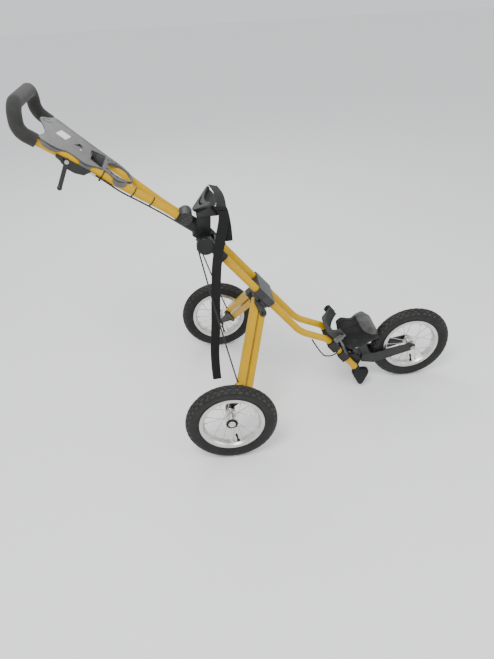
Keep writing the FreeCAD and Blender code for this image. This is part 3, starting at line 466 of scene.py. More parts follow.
def turned(origin, axis, profile, count=32):
    """A solid of revolution: the profile holds (radius, height) pairs from end to end."""
    first, second = side_axes(axis)
    verts = []
    for radius, height in profile:
        for index in range(count):
            angle = TURN * index / count
            side = first * math.cos(angle) + second * math.sin(angle)
            verts.append(origin + axis * height + side * radius)
    return verts, ring_faces(len(profile), count)


def rounded_pin(origin, axis, radius, length, rounding, count=24):
    """A short round piece with rounded rims."""
    profile = [(radius - rounding, 0), (radius - rounding * 0.3, rounding * 0.3), (radius, rounding),
               (radius, length - rounding), (radius - rounding * 0.3, length - rounding * 0.3),
               (radius - rounding, length)]
    return turned(origin, axis, profile, count)


def hex_nut(origin, axis, radius, length):
    """A six-sided nut with a chamfered face."""
    return turned(origin, axis, [(radius, 0), (radius, length * 0.8), (radius * 0.86, length)], 6)


def tube_mesh(points, radius, count=12):
    """A round bar along points, with flat ends."""
    verts = []
    first = None
    for index, point in enumerate(points):
        run = (points[min(index + 1, len(points) - 1)] - points[max(index - 1, 0)]).normalized()
        if first is None:
            first = side_axes(run)[0]
        first = (first - run * first.dot(run)).normalized()
        second = run.cross(first)
        for step in range(count):
            angle = TURN * step / count
            verts.append(point + (first * math.cos(angle) + second * math.sin(angle)) * radius)
    return verts, ring_faces(len(points), count)


def smooth_line(points, steps):
    """A line that runs smoothly through its points."""
    ends = [points[0] * 2 - points[1]] + list(points) + [points[-1] * 2 - points[-2]]
    line = []
    for index in range(1, len(ends) - 2):
        before, start, end, after = ends[index - 1:index + 3]
        for step in range(steps):
            part = step / steps
            line.append(0.5 * ((2 * start) + (end - before) * part
                               + (2 * before - 5 * start + 4 * end - after) * part ** 2
                               + (3 * start - before - 3 * end + after) * part ** 3))
    line.append(points[-1].copy())
    return line


def strap_mesh(centres, across, width, thickness, curl=0.0):
    """Webbing along a line: a thin band with rounded selvedges, and its layout in metres."""
    half = width / 2
    steps = (-0.97, -0.5, 0, 0.5, 0.97)
    section = ([(-half, 0)] + [(half * step, 0.5) for step in steps]
               + [(half, 0)] + [(half * step, -0.5) for step in steps[::-1]])
    verts, uvs = [], []
    travelled = 0
    for index, centre in enumerate(centres):
        run = (centres[min(index + 1, len(centres) - 1)] - centres[max(index - 1, 0)]).normalized()
        side = across[index] if isinstance(across, list) else across
        side = (side - run * side.dot(run)).normalized()
        face = run.cross(side)
        if index:
            travelled += (centre - centres[index - 1]).length
        for x, height in section:
            bow = curl * (1 - (x / half) ** 2)
            verts.append(centre + side * x + face * (height * thickness + bow))
            uvs.append((x, travelled))
    faces = [(face[0],) + face[:0:-1] for face in ring_faces(len(centres), len(section))]
    return verts, faces, uvs


def face_out(piece, sharp=None):
    """Turn every face outwards, and keep edges over so many degrees sharp."""
    shape = bmesh.new()
    shape.from_mesh(piece.data)
    bmesh.ops.recalc_face_normals(shape, faces=shape.faces)
    shape.to_mesh(piece.data)
    shape.free()
    if sharp:
        piece.data.set_sharp_from_angle(angle=math.radians(sharp))


def modify(piece, kind, **settings):
    """Add a modifier with these settings and apply it."""
    modifier = piece.modifiers.new(kind.lower(), kind)
    for key, value in settings.items():
        setattr(modifier, key, value)
    bake(piece)


def bake(piece):
    """Apply the piece's modifiers."""
    bpy.context.view_layer.update()
    graph = bpy.context.evaluated_depsgraph_get()
    mesh = bpy.data.meshes.new_from_object(piece.evaluated_get(graph))
    piece.modifiers.clear()
    piece.data = mesh


# ---- wheels

RING_RADIUS = 0.1345
SECTION_RADIUS = 0.0225
CARCASS_RADIUS = 0.0205
BLOCK_PITCH = 40
RIM_INNER = 0.094
SPOKES = 16


def wheel_frame(name):
    """A wheel's middle, and the directions out of the cart, ahead and up."""
    side = {"right": -1, "left": 1, "front": -1}[name]
    return joint_at(f"wheel_spin_{name}"), Vector((0, side, 0))


def ring_point(centre, outward, angle, radius, height):
    """A point of a wheel, by its angle, its distance from the axle and its height along it."""
    spoke = Vector((math.cos(angle), 0, math.sin(angle)))
    return centre + spoke * radius + outward * height


def tyre_section():
    """Carcass outline as (radius, height, wear and painted highlight), from one bead round the tread to
    the other.
    """
    rows = [(0.1085, -0.0128, 0), (0.1125, -0.0139, 0)]
    for degrees in range(-130, 131, 10):
        angle = math.radians(degrees)
        swell = CARCASS_RADIUS + 0.0012 * (abs(degrees) in (70, 80))
        # Tread lighter than the sidewalls: partly dust and wear, partly painted highlight.
        worn_and_lit = 0.25 if abs(degrees) <= 60 else 0.06
        rows.append((RING_RADIUS + swell * math.cos(angle), swell * math.sin(angle), worn_and_lit))
    return rows + [(0.1125, 0.0139, 0), (0.1085, 0.0128, 0)]


def tread_block(centre, outward, angle, tilt, length, width, skew):
    """One tread block: a tapered pad, bent round the tyre, lighter towards its top as wear and painted
    highlight.
    """
    verts, faces = [], []
    along_steps, cross_steps = 3, 2
    for radius, grow in ((CARCASS_RADIUS - 0.0008, 1.16), (SECTION_RADIUS - 0.0004, 1.0),
                         (SECTION_RADIUS, 0.86)):
        for row in range(along_steps + 1):
            for column in range(cross_steps + 1):
                u = (row / along_steps - 0.5) * length * grow
                v = (column / cross_steps - 0.5) * width * grow
                turn = angle + (u + skew * v) / (RING_RADIUS + radius)
                lean = tilt + v / radius
                verts.append(ring_point(centre, outward, turn, RING_RADIUS + radius * math.cos(lean),
                                        radius * math.sin(lean)))
    across = cross_steps + 1
    layer = across * (along_steps + 1)
    edge = ([row * across for row in range(along_steps + 1)]
            + [along_steps * across + column for column in range(1, across)]
            + [row * across + cross_steps for row in range(along_steps - 1, -1, -1)]
            + [column for column in range(cross_steps - 1, 0, -1)])
    for level in range(2):
        for index, spot in enumerate(edge):
            after = edge[(index + 1) % len(edge)]
            low = level * layer
            faces.append((spot + low, after + low, after + low + layer, spot + low + layer))
    for row in range(along_steps):
        for column in range(cross_steps):
            corner = 2 * layer + row * across + column
            faces.append((corner, corner + 1, corner + across + 1, corner + across))
    # Lighter towards the block's top: partly wear, partly painted highlight.
    wear_and_highlight = [0.12] * layer + [0.55] * layer + [1.0] * layer
    return verts, faces, wear_and_highlight


def make_tyre(name):
    centre, outward = wheel_frame(name)
    rows = tyre_section()
    count = 120
    verts, faces, wear_and_highlight = [], [], []
    for index in range(count):
        for radius, height, worn_and_lit in rows:
            verts.append(ring_point(centre, outward, TURN * index / count, radius, height))
            wear_and_highlight.append(worn_and_lit)
    deep = len(rows)
    for index in range(count):
        after = (index + 1) % count
        for row in range(deep):
            beside = (row + 1) % deep
            faces.append((index * deep + row, index * deep + beside,
                          after * deep + beside, after * deep + row))
    for index in range(BLOCK_PITCH):
        angle = TURN * index / BLOCK_PITCH
        half = TURN / BLOCK_PITCH / 2
        for side in (-1, 1):
            blocks = ((angle + (half if side > 0 else 0), side * 0.17, 0.0125, 0.0062, side * 0.35),
                      (angle + (0 if side > 0 else half), side * 0.56, 0.0135, 0.0068, side * -0.3),
                      (angle + (half if side > 0 else 0), side * 0.98, 0.0145, 0.0075, side * 0.2))
            for block in blocks:
                part_verts, part_faces, part_wear_and_highlight = tread_block(centre, outward, *block)
                base = len(verts)
                verts.extend(part_verts)
                wear_and_highlight.extend(part_wear_and_highlight)
                faces.extend([tuple(spot + base for spot in face) for face in part_faces])
    body = f"wheel_{name}"
    piece = add_mesh(f"treaded_tyre_{name}", (verts, faces), "tyre_rubber", body)
    # Per point: how much wear and painted highlight lightens the rubber.
    layer = piece.data.attributes.new("wear_and_highlight", "FLOAT_COLOR", "POINT")
    for index, worn_and_lit in enumerate(wear_and_highlight):
        layer.data[index].color = (worn_and_lit, worn_and_lit, worn_and_lit, 1)
    face_out(piece, 38)
    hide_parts(f"tyre_{name}")


def make_rim_details(name):
    """Spoke nipples and the tyre's valve."""
    centre, outward = wheel_frame(name)
    nipples = []
    for index in range(SPOKES):
        angle = TURN * index / SPOKES
        height = 0.003 if index % 2 else -0.003
        spot = ring_point(centre, outward, angle, RIM_INNER - 0.0002, height)
        inward = ring_point(centre, outward, angle, 0, height) - spot
        nipples.append(turned(spot, inward.normalized(), [(0.0026, 0), (0.0026, 0.002), (0.0019, 0.0032),
                                                          (0.0019, 0.009), (0.0013, 0.0105)], 10))
    add_mesh(f"nipples_{name}", join_parts(nipples), "spoke_steel", f"wheel_{name}")
    spot = ring_point(centre, outward, TURN * 0.781, RIM_INNER - 0.0002, 0)
    inward = (centre - spot).normalized()
    verts, faces = turned(spot, inward, [(0.0052, 0), (0.0052, 0.002), (0.0034, 0.0035), (0.0031, 0.018),
                                         (0.004, 0.019), (0.004, 0.03), (0.0028, 0.0315)], 14)
    add_mesh(f"valve_{name}", (verts, faces), "foot_rubber", f"wheel_{name}")


def make_hub_details():
    """Dark seals beside the domed end of each rear hub."""
    for name, _ in SIDES:
        centre, outward = wheel_frame(name)
        seal = [(0.0142, 0), (0.0178, 0.0002), (0.0186, 0.0012), (0.0178, 0.0024), (0.0142, 0.0028)]
        add_mesh(f"hub_seal_{name}", turned(centre + outward * 0.0098, outward, seal), "foot_rubber",
                 f"wheel_{name}")
        low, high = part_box(f"hub_{name}")
        end = Vector((centre.x, low.y if outward.y < 0 else high.y, centre.z)) - outward * 0.0008
        dome = [(0.0125, 0)]
        for step in range(0, 90, 10):
            angle = math.radians(step)
            dome.append((0.0125 * math.cos(angle), 0.0012 + 0.0052 * math.sin(angle)))
        add_mesh(f"hub_dome_{name}", turned(end, outward, dome, 28), "alloy", f"wheel_{name}")
        teeth = []
        for step in range(18):
            angle = TURN * step / 18
            spot = ring_point(end, outward, angle, 0.0186, 0)
            teeth.append(rounded_pin(spot - outward * 0.004, outward, 0.0022, 0.0052, 0.0006, 8))
        add_mesh(f"hub_teeth_{name}", join_parts(teeth), "black_steel", f"wheel_{name}")


# ---- console

CONSOLE_LOW = 25.1
CONSOLE_TOP = 28.1
CUP_ALONG = 328
CUP_RADIUS = 43


def console_outline():
    """The plate's edge from above, as (along, left), with a scallop between the ears on each side."""
    near = ((293, 18), (300, 38), (312, 56), (326, 67), (342, 66), (357, 59), (370, 58), (384, 60),
            (398, 70), (412, 83), (424, 90), (436, 92), (450, 89), (466, 86), (484, 88), (498, 98),
            (514, 107), (532, 109))
    top = ((560, -108), (562, -92), (556, -60), (557, -42), (563, -22), (573, 0), (583, 20), (588, 38),
           (582, 58), (570, 76), (563, 98))
    far = ((552, 110), (500, 98), (440, 84), (380, 71), (336, 63), (310, 50), (297, 28))
    line = [(289, 0)] + [(along, -left) for along, left in near] + list(top) + list(far) + [(289, 0)]
    return smooth_line(flat_points(*line), 5)[:-1]


def flat_points(*pairs):
    """Points of the handle's plane, in millimetres along it and to the left."""
    return [Vector((along, left, 0)) for along, left in pairs]


def raised(line, height):
    """A flat line, lifted so many millimetres out of the handle's top."""
    return [on_handle(spot.x, spot.y, height) for spot in line]


def circle_line(along, left, radius, count):
    return [Vector((along + radius * math.cos(TURN * step / count),
                    left + radius * math.sin(TURN * step / count), 0)) for step in range(count)]


def rounded_corners(corners, rounding, steps=4):
    """A closed line through corners, each rounded off."""
    line = []
    for index, corner in enumerate(corners):
        before = (corners[index - 1] - corner).normalized() * rounding
        after = (corners[(index + 1) % len(corners)] - corner).normalized() * rounding
        for step in range(steps + 1):
            part = step / steps
            line.append(corner + before * (1 - part) ** 2 + after * part ** 2)
    return line


def tray_line(grow=0.0):
    return rounded_corners(flat_points((428 + grow, 34 + grow), (381 - grow, 54 + grow),
                                       (380 - grow, -56 - grow), (422 + grow, -42 - grow)), 12)


def slot_line():
    return rounded_corners(flat_points((479, -9), (470, 8), (465, 27), (457, 24), (450, 7),
                                       (459, -3), (466, -5)), 2)


def flat_plate(name, lines, low, high, bevel):
    """A plate with holes, bevelled all round: lines in millimetres on the handle's plane."""
    curve = bpy.data.curves.new(name, "CURVE")
    curve.dimensions = "2D"
    curve.fill_mode = "BOTH"
    curve.extrude = (high - low) / 2 / 1000 - bevel
    curve.bevel_depth = bevel
    curve.bevel_resolution = 2
    curve.offset = -bevel
    for line in lines:
        spline = curve.splines.new("POLY")
        spline.points.add(len(line) - 1)
        for point, spot in zip(spline.points, line):
            point.co = (spot.x / 1000, spot.y / 1000, 0, 1)
        spline.use_cyclic_u = True
    holder = link_object(name, curve)
    bpy.context.view_layer.update()
    mesh = bpy.data.meshes.new_from_object(holder)
    bpy.data.objects.remove(holder)
    place = Matrix((HANDLE_ALONG, LEFT, HANDLE_UP)).transposed().to_4x4()
    middle = on_handle(0, 0, (low + high) / 2)
    mesh.transform(Matrix.Translation(middle) @ place)
    return mesh


def plate_piece(name, lines, low, high, bevel, finish, body):
    """A flat plate as a new piece that rides on a body."""
    mesh = flat_plate(name, lines, low, high, bevel)
    piece = link_object(name, mesh)
    paint(piece, finish)
    for polygon in mesh.polygons:
        polygon.use_smooth = True
    mesh.set_sharp_from_angle(angle=math.radians(35))
    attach(piece, body)
    return piece


def wall_along(line, low, high, thickness, closed=True):
    """A thin upright wall under a line on the handle's plane, heights in millimetres."""
    verts, faces = [], []
    count = len(line)
    for index, spot in enumerate(line):
        after = line[(index + 1) % count] if closed or index < count - 1 else spot
        before = line[index - 1] if closed or index else spot
        run = (after - before).normalized()
        side = Vector((-run.y, run.x, 0)) * thickness
        for inset, height in ((0, low), (0, high), (1, high), (1, low)):
            place = spot + side * inset
            verts.append(on_handle(place.x, place.y, height))
    rows = count if closed else count - 1
    for index in range(rows):
        after = (index + 1) % count
        for step in range(4):
            beside = (step + 1) % 4
            faces.append((index * 4 + step, after * 4 + step,
                          after * 4 + beside, index * 4 + beside))
    if not closed:
        faces.append((0, 1, 2, 3))
        last = (count - 1) * 4
        faces.append((last + 3, last + 2, last + 1, last))
    return verts, faces


def ear(sign, first, last, start, end):
    """A moulded ear that wraps a handle tube, between two angles about the tube."""
    low, high = TUBE_RADIUS * 1000 + 0.35, TUBE_RADIUS * 1000 + 3.4
    steps, rows = 18, 8
    verts, faces = [], []
    for row in range(rows + 1):
        along = first + (last - first) * row / rows
        taper = math.sin(math.pi * row / rows) ** 0.5
        for step in range(steps + 1):
            angle = math.radians(start + (end - start) * step / steps * (0.55 + 0.45 * taper))
            for radius in (low, high):
                left = sign * (tube_side(along) + radius * math.cos(angle))
                verts.append(on_handle(along, left, HANDLE_RISE * 1000 + radius * math.sin(angle)))
    across = 2 * (steps + 1)
    for row in range(rows):
        for step in range(steps):
            spot = row * across + step * 2
            faces.append((spot, spot + 2, spot + across + 2, spot + across))
            faces.append((spot + 1, spot + across + 1, spot + across + 3, spot + 3))
        for spot in (row * across, row * across + across - 2):
            faces.append((spot, spot + across, spot + across + 1, spot + 1))
    for row in (0, rows):
        for step in range(steps):
            spot = row * across + step * 2
            faces.append((spot, spot + 1, spot + 3, spot + 2))
    return verts, faces


def make_console():
    cup = circle_line(CUP_ALONG, 0, CUP_RADIUS, 64)
    plate = plate_piece("console_plate", [console_outline(), cup, tray_line(), slot_line()],
                        CONSOLE_LOW, CONSOLE_TOP, 0.0008, "grey_plastic", "handle")
    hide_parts("console")
    skirt_line = circle_line(CUP_ALONG, 0, CUP_RADIUS + 3.2, 64)
    parts = [wall_along(skirt_line, 19.5, CONSOLE_LOW + 1, 2.6),
             wall_along(tray_line(1.5), 10, CONSOLE_LOW + 1, 2.0)]
    for sign in (-1, 1):
        for first, last, lowest in ((300, 342, -18), (408, 444, -22), (498, 556, 0)):
            parts.append(ear(sign, first, last, 92, lowest))
    skirt = add_mesh("console_skirt", join_parts(parts), "grey_plastic", "handle")
    face_out(skirt, 40)
    cup_rim = circle_line(CUP_ALONG, 0, CUP_RADIUS + 1.6, 72)
    ridge = smooth_line(flat_points((550, 101), (500, 90), (440, 76), (380, 64)), 4)
    rims = [tube_mesh(closed(raised(cup_rim, CONSOLE_TOP - 0.2)), 0.0016, 10),
            tube_mesh(closed(raised(tray_line(1.6), CONSOLE_TOP - 0.2)), 0.0014, 10),
            tube_mesh(raised(ridge, CONSOLE_TOP - 0.4), 0.0013, 10)]
    bead = add_mesh("console_beads", join_parts(rims), "grey_plastic", "handle")
    face_out(bead)


def closed(line):
    return line + [line[0]]


def make_console_details():
    """Black dimples by the cup hole and a black bead in the lug's groove, painted shade of those hollows;
    a black floor under the slot, painted shade in the slot; the slot's stud, the blank label and the
    bin's bars.
    """
    dimples = []
    # Black discs in the dimples: painted shade of the hollows.
    dimple = [(0.0044, 0), (0.0044, 0.0008), (0.0034, 0.0009), (0.0024, 0.0007)]
    for along, left in ((368, -35), (351, -48), (332, -50), (372, 39), (361, 47), (348, 51)):
        dimples.append(turned(on_handle(along, left, CONSOLE_TOP - 0.6), HANDLE_UP, dimple, 18))
    add_mesh("cup_dimple_shade", join_parts(dimples), "black_plastic", "handle")
    # A black bead along the lug's groove: painted shade in the groove.
    groove = smooth_line(flat_points((556, 52), (572, 34), (581, 38), (576, 52), (565, 66)), 5)
    add_mesh("lug_groove_shade", tube_mesh(raised(groove, CONSOLE_TOP - 0.9), 0.0016, 8), "black_plastic",
             "handle")
    # A black floor under the slot: painted shade in the slot's hollow.
    slot_floor_shade = rounded_corners(flat_points((484, -14), (474, 32), (446, 30), (444, -10)), 4)
    plate_piece("slot_floor_shade", [slot_floor_shade], 22.4, 24.8, 0.0004, "black_plastic", "handle")
    stud = rounded_pin(on_handle(453, -21, CONSOLE_TOP - 0.4), HANDLE_UP, 0.0042, 0.0016, 0.0006)
    add_mesh("slot_stud", stud, "brass", "handle", "fastener_steel")
    label = rounded_corners(flat_points((524, 41), (493, 36), (502, -13), (533, -8)), 2)
    plate_piece("blank_label", [label], 28.0, 28.35, 0.00005, "label_paper", "handle")
    bars = []
    for step in range(7):
        along = 383.5 + step * 6
        bars.append(tube_mesh([on_handle(along, left, -2.2) for left in (-41, -14, 14, 41)], 0.0011, 8))
    for step in range(11):
        left = -40 + step * 8
        bars.append(tube_mesh([on_handle(along, left, -1.6) for along in (382, 400, 419)], 0.0011, 8))
    add_mesh("bin_mesh", join_parts(bars), "black_plastic", "handle")


# ---- handle fittings

def make_handle_fittings():
    """Zip ties round the handle's cable, and the bolt and washer of the brake lever."""
    ties = []
    for along in (205, 268, 372):
        left = -tube_side(along)
        loop = []
        for step in range(28):
            angle = TURN * step / 28
            reach = TUBE_RADIUS * 1000 + 1.2
            drop = 6.4 * max(0, -math.sin(angle)) ** 6
            loop.append(on_handle(along, left + reach * math.cos(angle),
                                  HANDLE_RISE * 1000 + reach * math.sin(angle) - drop))
        ties.append(tube_mesh(closed(loop), 0.0016, 8))
        head = on_handle(along - 3, left - 5, -3.6)
        ties.append(rounded_pin(head, HANDLE_ALONG, 0.0028, 0.006, 0.0008, 12))
    add_mesh("cable_ties", join_parts(ties), "black_plastic", "handle")
    axis = Vector(JOINTS["brake_lever_pull"]["axis"])
    pivot = joint_at("brake_lever_pull")
    out = axis if axis.y < 0 else -axis
    parts = [hex_nut(pivot + out * 0.0052, out, 0.0044, 0.0036),
             rounded_pin(pivot + out * 0.0038, out, 0.0062, 0.0013, 0.0004)]
    add_mesh("lever_bolt", join_parts(parts), "fastener_steel", "brake_lever", smooth=False)


def make_yoke_disc():
    """The yoke's round side cover: a raised rim, a boss and four ribs between dark hollows."""
    low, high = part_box("yoke_cover")
    middle = (low + high) / 2
    radius = (high.x - low.x) / 2
    back = Vector((middle.x, high.y, middle.z))
    out = -LEFT
    rim = [(radius, 0), (radius, 0.0034), (radius - 0.0006, 0.004), (radius - 0.0024, 0.004),
           (radius - 0.003, 0.0034), (radius - 0.0034, 0.0014)]
    boss = [(0.0072, 0.0014), (0.0064, 0.0036), (0.0054, 0.004), (0.001, 0.0042)]
    parts = [turned(back, out, rim + boss, 48)]
    for step in range(4):
        angle = TURN * (step / 4 + 0.09)
        spoke = Vector((math.cos(angle), 0, math.sin(angle)))
        across = spoke.cross(LEFT).normalized()
        rib = []
        for reach, half in ((0.005, 0.0034), (0.0105, 0.0019), (radius - 0.002, 0.0042)):
            for side in (-1, 1):
                for lift in (0.0012, 0.0036):
                    rib.append(back + spoke * reach + across * (side * half) + out * lift)
        faces = []
        for row in (0, 4):
            faces += [(row, row + 1, row + 5, row + 4), (row + 1, row + 3, row + 7, row + 5),
                      (row + 3, row + 2, row + 6, row + 7), (row + 2, row, row + 4, row + 6)]
        parts.append((rib, faces))
    disc = add_mesh("yoke_disc", join_parts(parts), "dark_grey_plastic", "handle", "black_plastic")
    face_out(disc, 35)
    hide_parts("yoke_cover")


def make_knob_details():
    """Finger ridges round the clamp knob."""
    low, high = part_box("clamp_knob")
    middle = (low + high) / 2
    radius = (high.x - low.x) / 2
    parts = []
    for index in range(30):
        angle = TURN * index / 30
        spoke = Vector((math.cos(angle), 0, math.sin(angle)))
        start = middle + spoke * (radius - 0.0008) + LEFT * 0.008
        parts.append(tube_mesh([start, start - LEFT * 0.008, start - LEFT * 0.0155], 0.0015, 8))
    ridges = add_mesh("knob_ridges", join_parts(parts), "black_plastic", "knob")
    face_out(ridges)


# ---- straps

STRAP_WIDTH = 0.032
BAND_ACROSS = Vector((0.95, 0, -0.31))


def make_strap_band():
    """Slack webbing across the upper cradle's arms, leaning forwards, its near end turned down."""
    low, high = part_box("bag_strap")
    start = Vector(((low.x + high.x) / 2 - 0.003, high.y, high.z - 0.004))
    end = Vector((high.x - 0.001, low.y, low.z + 0.004))
    centres = []
    for step in range(29):
        part = step / 28
        bow = math.sin(math.pi * part)
        centres.append(start.lerp(end, part) + Vector((0.006 * bow, 0, 0.004 * bow)))
    centres += [end + Vector((0.001, -0.006, -0.002)), end + Vector((0.001, -0.0105, -0.008))]
    verts, faces, uvs = strap_mesh(centres, BAND_ACROSS, STRAP_WIDTH, 0.0024)
    piece = add_mesh("cradle_strap", (verts, faces), "webbing", "root", uvs=uvs)
    face_out(piece, 50)
    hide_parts("bag_strap")


def hanging_strap(route, width, twist):
    """Webbing that leaves the band flat, turns downwards and hangs with its face to the side."""
    line = smooth_line([cart(*spot) for spot in route], 7)
    sides = []
    for index, point in enumerate(line):
        settled = min(1, index / 14)
        turn = twist * math.sin(index * 0.13) * settled
        hung = Vector((math.cos(turn), math.sin(turn), 0))
        sides.append(BAND_ACROSS.lerp(hung, settled))
    wave = [point + LEFT * 0.0016 * math.sin(index * 0.42) for index, point in enumerate(line)]
    return strap_mesh(wave, sides, width, 0.0022, 0.0012)


def make_strap_tail():
    """The strap's long free end and the shorter one behind it, hanging from the right arm."""
    long_route = ((20, -60, 813), (26, -78, 812), (32, -90, 808), (33, -97, 792), (28, -98, 765),
                  (16, -100, 715), (5, -99, 660), (-2, -90, 610), (-7, -84, 555), (-14, -83, 480),
                  (-20, -84, 400), (-27, -85, 330), (-33, -86, 270), (-35, -86, 200), (-34, -86, 145))
    short_route = ((22, -60, 820), (28, -76, 819), (35, -85, 810), (40, -88, 780), (43, -88, 745),
                   (44, -88, 708))
    long_end = hanging_strap(long_route, STRAP_WIDTH, 0.16)
    short_end = hanging_strap(short_route, 0.026, 0)
    piece = add_mesh("strap_ends", join_parts([long_end[:2], short_end[:2]]), "webbing", "root",
                     uvs=long_end[2] + short_end[2])
    face_out(piece, 50)
    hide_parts("strap_tail")
    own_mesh(piece)


def make_strap_roll():
    """Lower strap wound into a roll, its tail running back to the cradle's arm."""
    low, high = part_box("strap_roll")
    middle = (low + high) / 2
    out = Vector(MOUNTS["lower_bag_rest"]["axis"])
    down = Vector((out.z, 0, -out.x))
    turns = 5
    steps = turns * 22
    centres = []
    for step in range(steps + 1):
        angle = TURN * turns * step / steps
        radius = 0.0032 + 0.0104 * step / steps
        centres.append(middle + (LEFT * math.cos(angle) + out * math.sin(angle)) * radius)
    for step in range(1, 10):
        angle = math.radians(15 * step)
        radius = 0.0136 + 0.00024 * step
        centres.append(middle + (LEFT * math.cos(angle) + out * math.sin(angle)) * radius)
    for left, ahead in ((-0.0145, 0.0098), (-0.0186, 0.0084)):
        centres.append(middle + LEFT * left + out * ahead)
    verts, faces, uvs = strap_mesh(centres, down, 0.034, 0.0019)
    piece = add_mesh("wound_strap", (verts, faces), "webbing", "root", uvs=uvs)
    face_out(piece, 50)
    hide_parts("strap_roll")


# ---- rubber feet

def make_feet():
    """A rounded three-cornered rubber foot below the end of each main tube, with a collar up the tube."""
    low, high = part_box("rubber_feet")
    along = Vector((0.62225, 0, -0.78282))
    tube_low, tube_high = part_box("main_tube_right")
    end = Vector((tube_high.x + TUBE_RADIUS * along.z, 0, tube_low.z + TUBE_RADIUS * along.x))
    drop = high.z - low.z
    parts = []
    for side in (-1, 1):
        middle = side * (abs(low.y) - 0.0125)
        corners = [Vector((low.x - 0.004, 0, low.z + drop * 0.74)),
                   Vector((high.x + 0.004, 0, low.z + drop * 0.76)),
                   Vector((low.x + 0.044, 0, low.z - 0.012))]
        outline = rounded_corners(corners, 0.034, 8)
        centre = sum(outline, Vector()) / len(outline)
        verts = []
        layers = ((-0.0125, 0.02), (-0.0125, 0.8), (-0.0115, 0.93), (-0.008, 1.0), (0.008, 1.0),
                  (0.0115, 0.93), (0.0125, 0.8), (0.0125, 0.02))
        for offset, scale in layers:
            for spot in outline:
                verts.append(centre + (spot - centre) * scale + Vector((0, middle + offset, 0)))
        parts.append((verts, ring_faces(len(layers), len(outline), caps=False)))
        start = end + Vector((0, middle, 0)) - along * 0.009
        parts.append(turned(start, along, [(0.0129, 0), (0.0142, 0.001), (0.0145, 0.003), (0.0145, 0.013),
                                           (0.0129, 0.015)], 28))
    feet = add_mesh("rounded_feet", join_parts(parts), "foot_rubber", "root")
    face_out(feet, 50)
    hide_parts("rubber_feet")


# ---- padded pouch

def cloth_swell(piece, pressure, cap):
    """Inflate a closed mesh a little as cloth, no point moving further than the cap."""
    rest = [vert.co.copy() for vert in piece.data.vertices]
    cloth = piece.modifiers.new("cloth", "CLOTH")
    settings = cloth.settings
    settings.use_pressure = True
    settings.uniform_pressure_force = pressure
    settings.quality = 6
    settings.mass = 0.2
    settings.tension_stiffness = 12
    settings.compression_stiffness = 12
    settings.bending_stiffness = 0.6
    settings.effector_weights.gravity = 0
    cloth.point_cache.frame_start = 1
    cloth.point_cache.frame_end = 20
    scene = bpy.context.scene
    for number in range(1, 21):
        scene.frame_set(number)
    bake(piece)
    scene.frame_set(1)
    for vert, start in zip(piece.data.vertices, rest):
        move = vert.co - start
        if move.length > cap:
            vert.co = start + move.normalized() * cap


def make_pouch():
    """Padded pouch below the bag: swollen cloth and creases; its piped seams and grey half-round panel
    are made in make_pouch_trim.
    """
    low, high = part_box("bag_rest_pad")
    middle = (low + high) / 2
    mesh = NODES["bag_rest_pad"].data.copy()
    pouch = link_object("padded_pouch", mesh)
    for vert in mesh.vertices:
        vert.co = middle + (vert.co - middle) * 0.93
    modify(pouch, "REMESH", mode="VOXEL", voxel_size=0.005)
    cloth_swell(pouch, 4, 0.009)
    for vert in pouch.data.vertices:
        offset = vert.co - middle
        crease = (math.sin(offset.x * 95 + 14 * abs(offset.y))
                  * math.sin(offset.z * 60 + offset.y * 21 + 1.2))
        waist = math.exp(-((offset.x + 0.012) / 0.02) ** 2)
        vert.co -= offset.normalized() * (0.0011 * crease + 0.0042 * waist)
        if offset.z > 0:
            vert.co.z -= 0.2 * offset.z * min(1, max(0, -offset.x / 0.03))
    modify(pouch, "SUBSURF", levels=1, render_levels=1)
    paint(pouch, "pad_fabric")
    for polygon in pouch.data.polygons:
        polygon.use_smooth = True
    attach(pouch, "root")
    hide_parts("bag_rest_pad")
    return pouch


def on_pouch(tree, middle, direction, lift):
    """Where a ray from outside meets the pouch, lifted off it a little."""
    hit, normal, _, _ = tree.ray_cast(middle + direction * 0.4, -direction)
    return hit + normal * lift


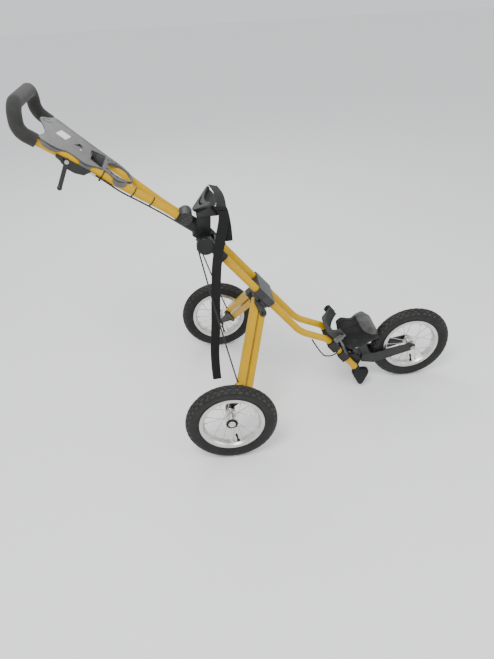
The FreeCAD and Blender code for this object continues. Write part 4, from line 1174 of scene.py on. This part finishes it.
def make_pouch_trim(pouch):
    """Seams along both sides, and the grey elastic panel over the front end."""
    low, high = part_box("bag_rest_pad")
    middle = (low + high) / 2
    tree = BVHTree.FromPolygons([vert.co.copy() for vert in pouch.data.vertices],
                                [tuple(polygon.vertices) for polygon in pouch.data.polygons])
    seams = []
    for sign in (-1, 1):
        loop = []
        for step in range(90):
            angle = TURN * step / 90
            direction = Vector((math.cos(angle), sign * 0.42, math.sin(angle))).normalized()
            loop.append(on_pouch(tree, middle, direction, 0.0002))
        seams.append(tube_mesh(closed(loop), 0.0014, 8))
    add_mesh("pouch_piping", join_parts(seams), "pad_fabric", "root")
    verts, faces = [], []
    rows, columns = 14, 30
    for level in (0.0012, -0.0006):
        for row in range(rows + 1):
            height = row / rows
            for column in range(columns + 1):
                across = column / columns * 2 - 1
                reach = (1 - 0.9 * abs(2 * height - 1) ** 2.6) ** 0.5
                angle = math.radians(104 - 84 * height)
                direction = Vector((math.cos(angle), across * 1.9 * reach, math.sin(angle))).normalized()
                verts.append(on_pouch(tree, middle + Vector((0.012, 0, 0)), direction, level))
    wide = columns + 1
    sheet = wide * (rows + 1)
    for row in range(rows):
        for column in range(columns):
            spot = row * wide + column
            faces.append((spot, spot + 1, spot + wide + 1, spot + wide))
            faces.append((sheet + spot, sheet + spot + wide,
                          sheet + spot + wide + 1, sheet + spot + 1))
    edge = (list(range(columns)) + [row * wide + columns for row in range(rows)]
            + [rows * wide + column for column in range(columns, 0, -1)]
            + [row * wide for row in range(rows, 0, -1)])
    for index, spot in enumerate(edge):
        after = edge[(index + 1) % len(edge)]
        faces.append((spot, sheet + spot, sheet + after, after))
    panel = add_mesh("pouch_panel", (verts, faces), "panel_fabric", "root", "pad_fabric")
    face_out(panel)


# ---- cables

def make_rear_cables():
    """Brake cables from the knuckle's guides to each rear bar, their foot turned into the leg."""
    for side, sign in SIDES:
        low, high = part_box(f"brake_cable_{side}")
        inner_y, outer_y = (high.y, low.y) if sign < 0 else (low.y, high.y)
        top = Vector((low.x + 0.002, inner_y + sign * 0.002, high.z - 0.001))
        foot = Vector((high.x - 0.002, outer_y - sign * 0.002, low.z + 0.001))
        hinge = joint_at(f"leg_fold_{side}")
        along = (joint_at(f"wheel_arm_turn_{side}") - hinge).normalized()
        offset = joint_at(f"front_bar_fold_{side}") - hinge
        into_leg = (offset - along * offset.dot(along)).normalized()
        line = [top + Vector((-0.002, 0, 0.006))]
        for step in range(41):
            part = step / 40
            bow = 0.0024 * math.sin(math.pi * part)
            line.append(top.lerp(foot, part) + Vector((-bow, 0, -bow * 0.3)))
        line.append(foot + along * 0.002 + into_leg * 0.0045)
        piece = add_mesh(f"rear_brake_cable_{side}", tube_mesh(line, 0.0025, 12), "cable_jacket", None)
        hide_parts(f"brake_cable_{side}")
        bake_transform(piece)


# ---- making it all

make_camera()
make_studio()
make_floor()
paint_nodes()
for wheel in ("right", "left", "front"):
    make_tyre(wheel)
    make_rim_details(wheel)
make_hub_details()
make_console()
make_console_details()
make_handle_fittings()
make_knob_details()
make_strap_band()
make_strap_tail()
make_strap_roll()
make_feet()
make_yoke_disc()
make_pouch_trim(make_pouch())
make_rear_cables()
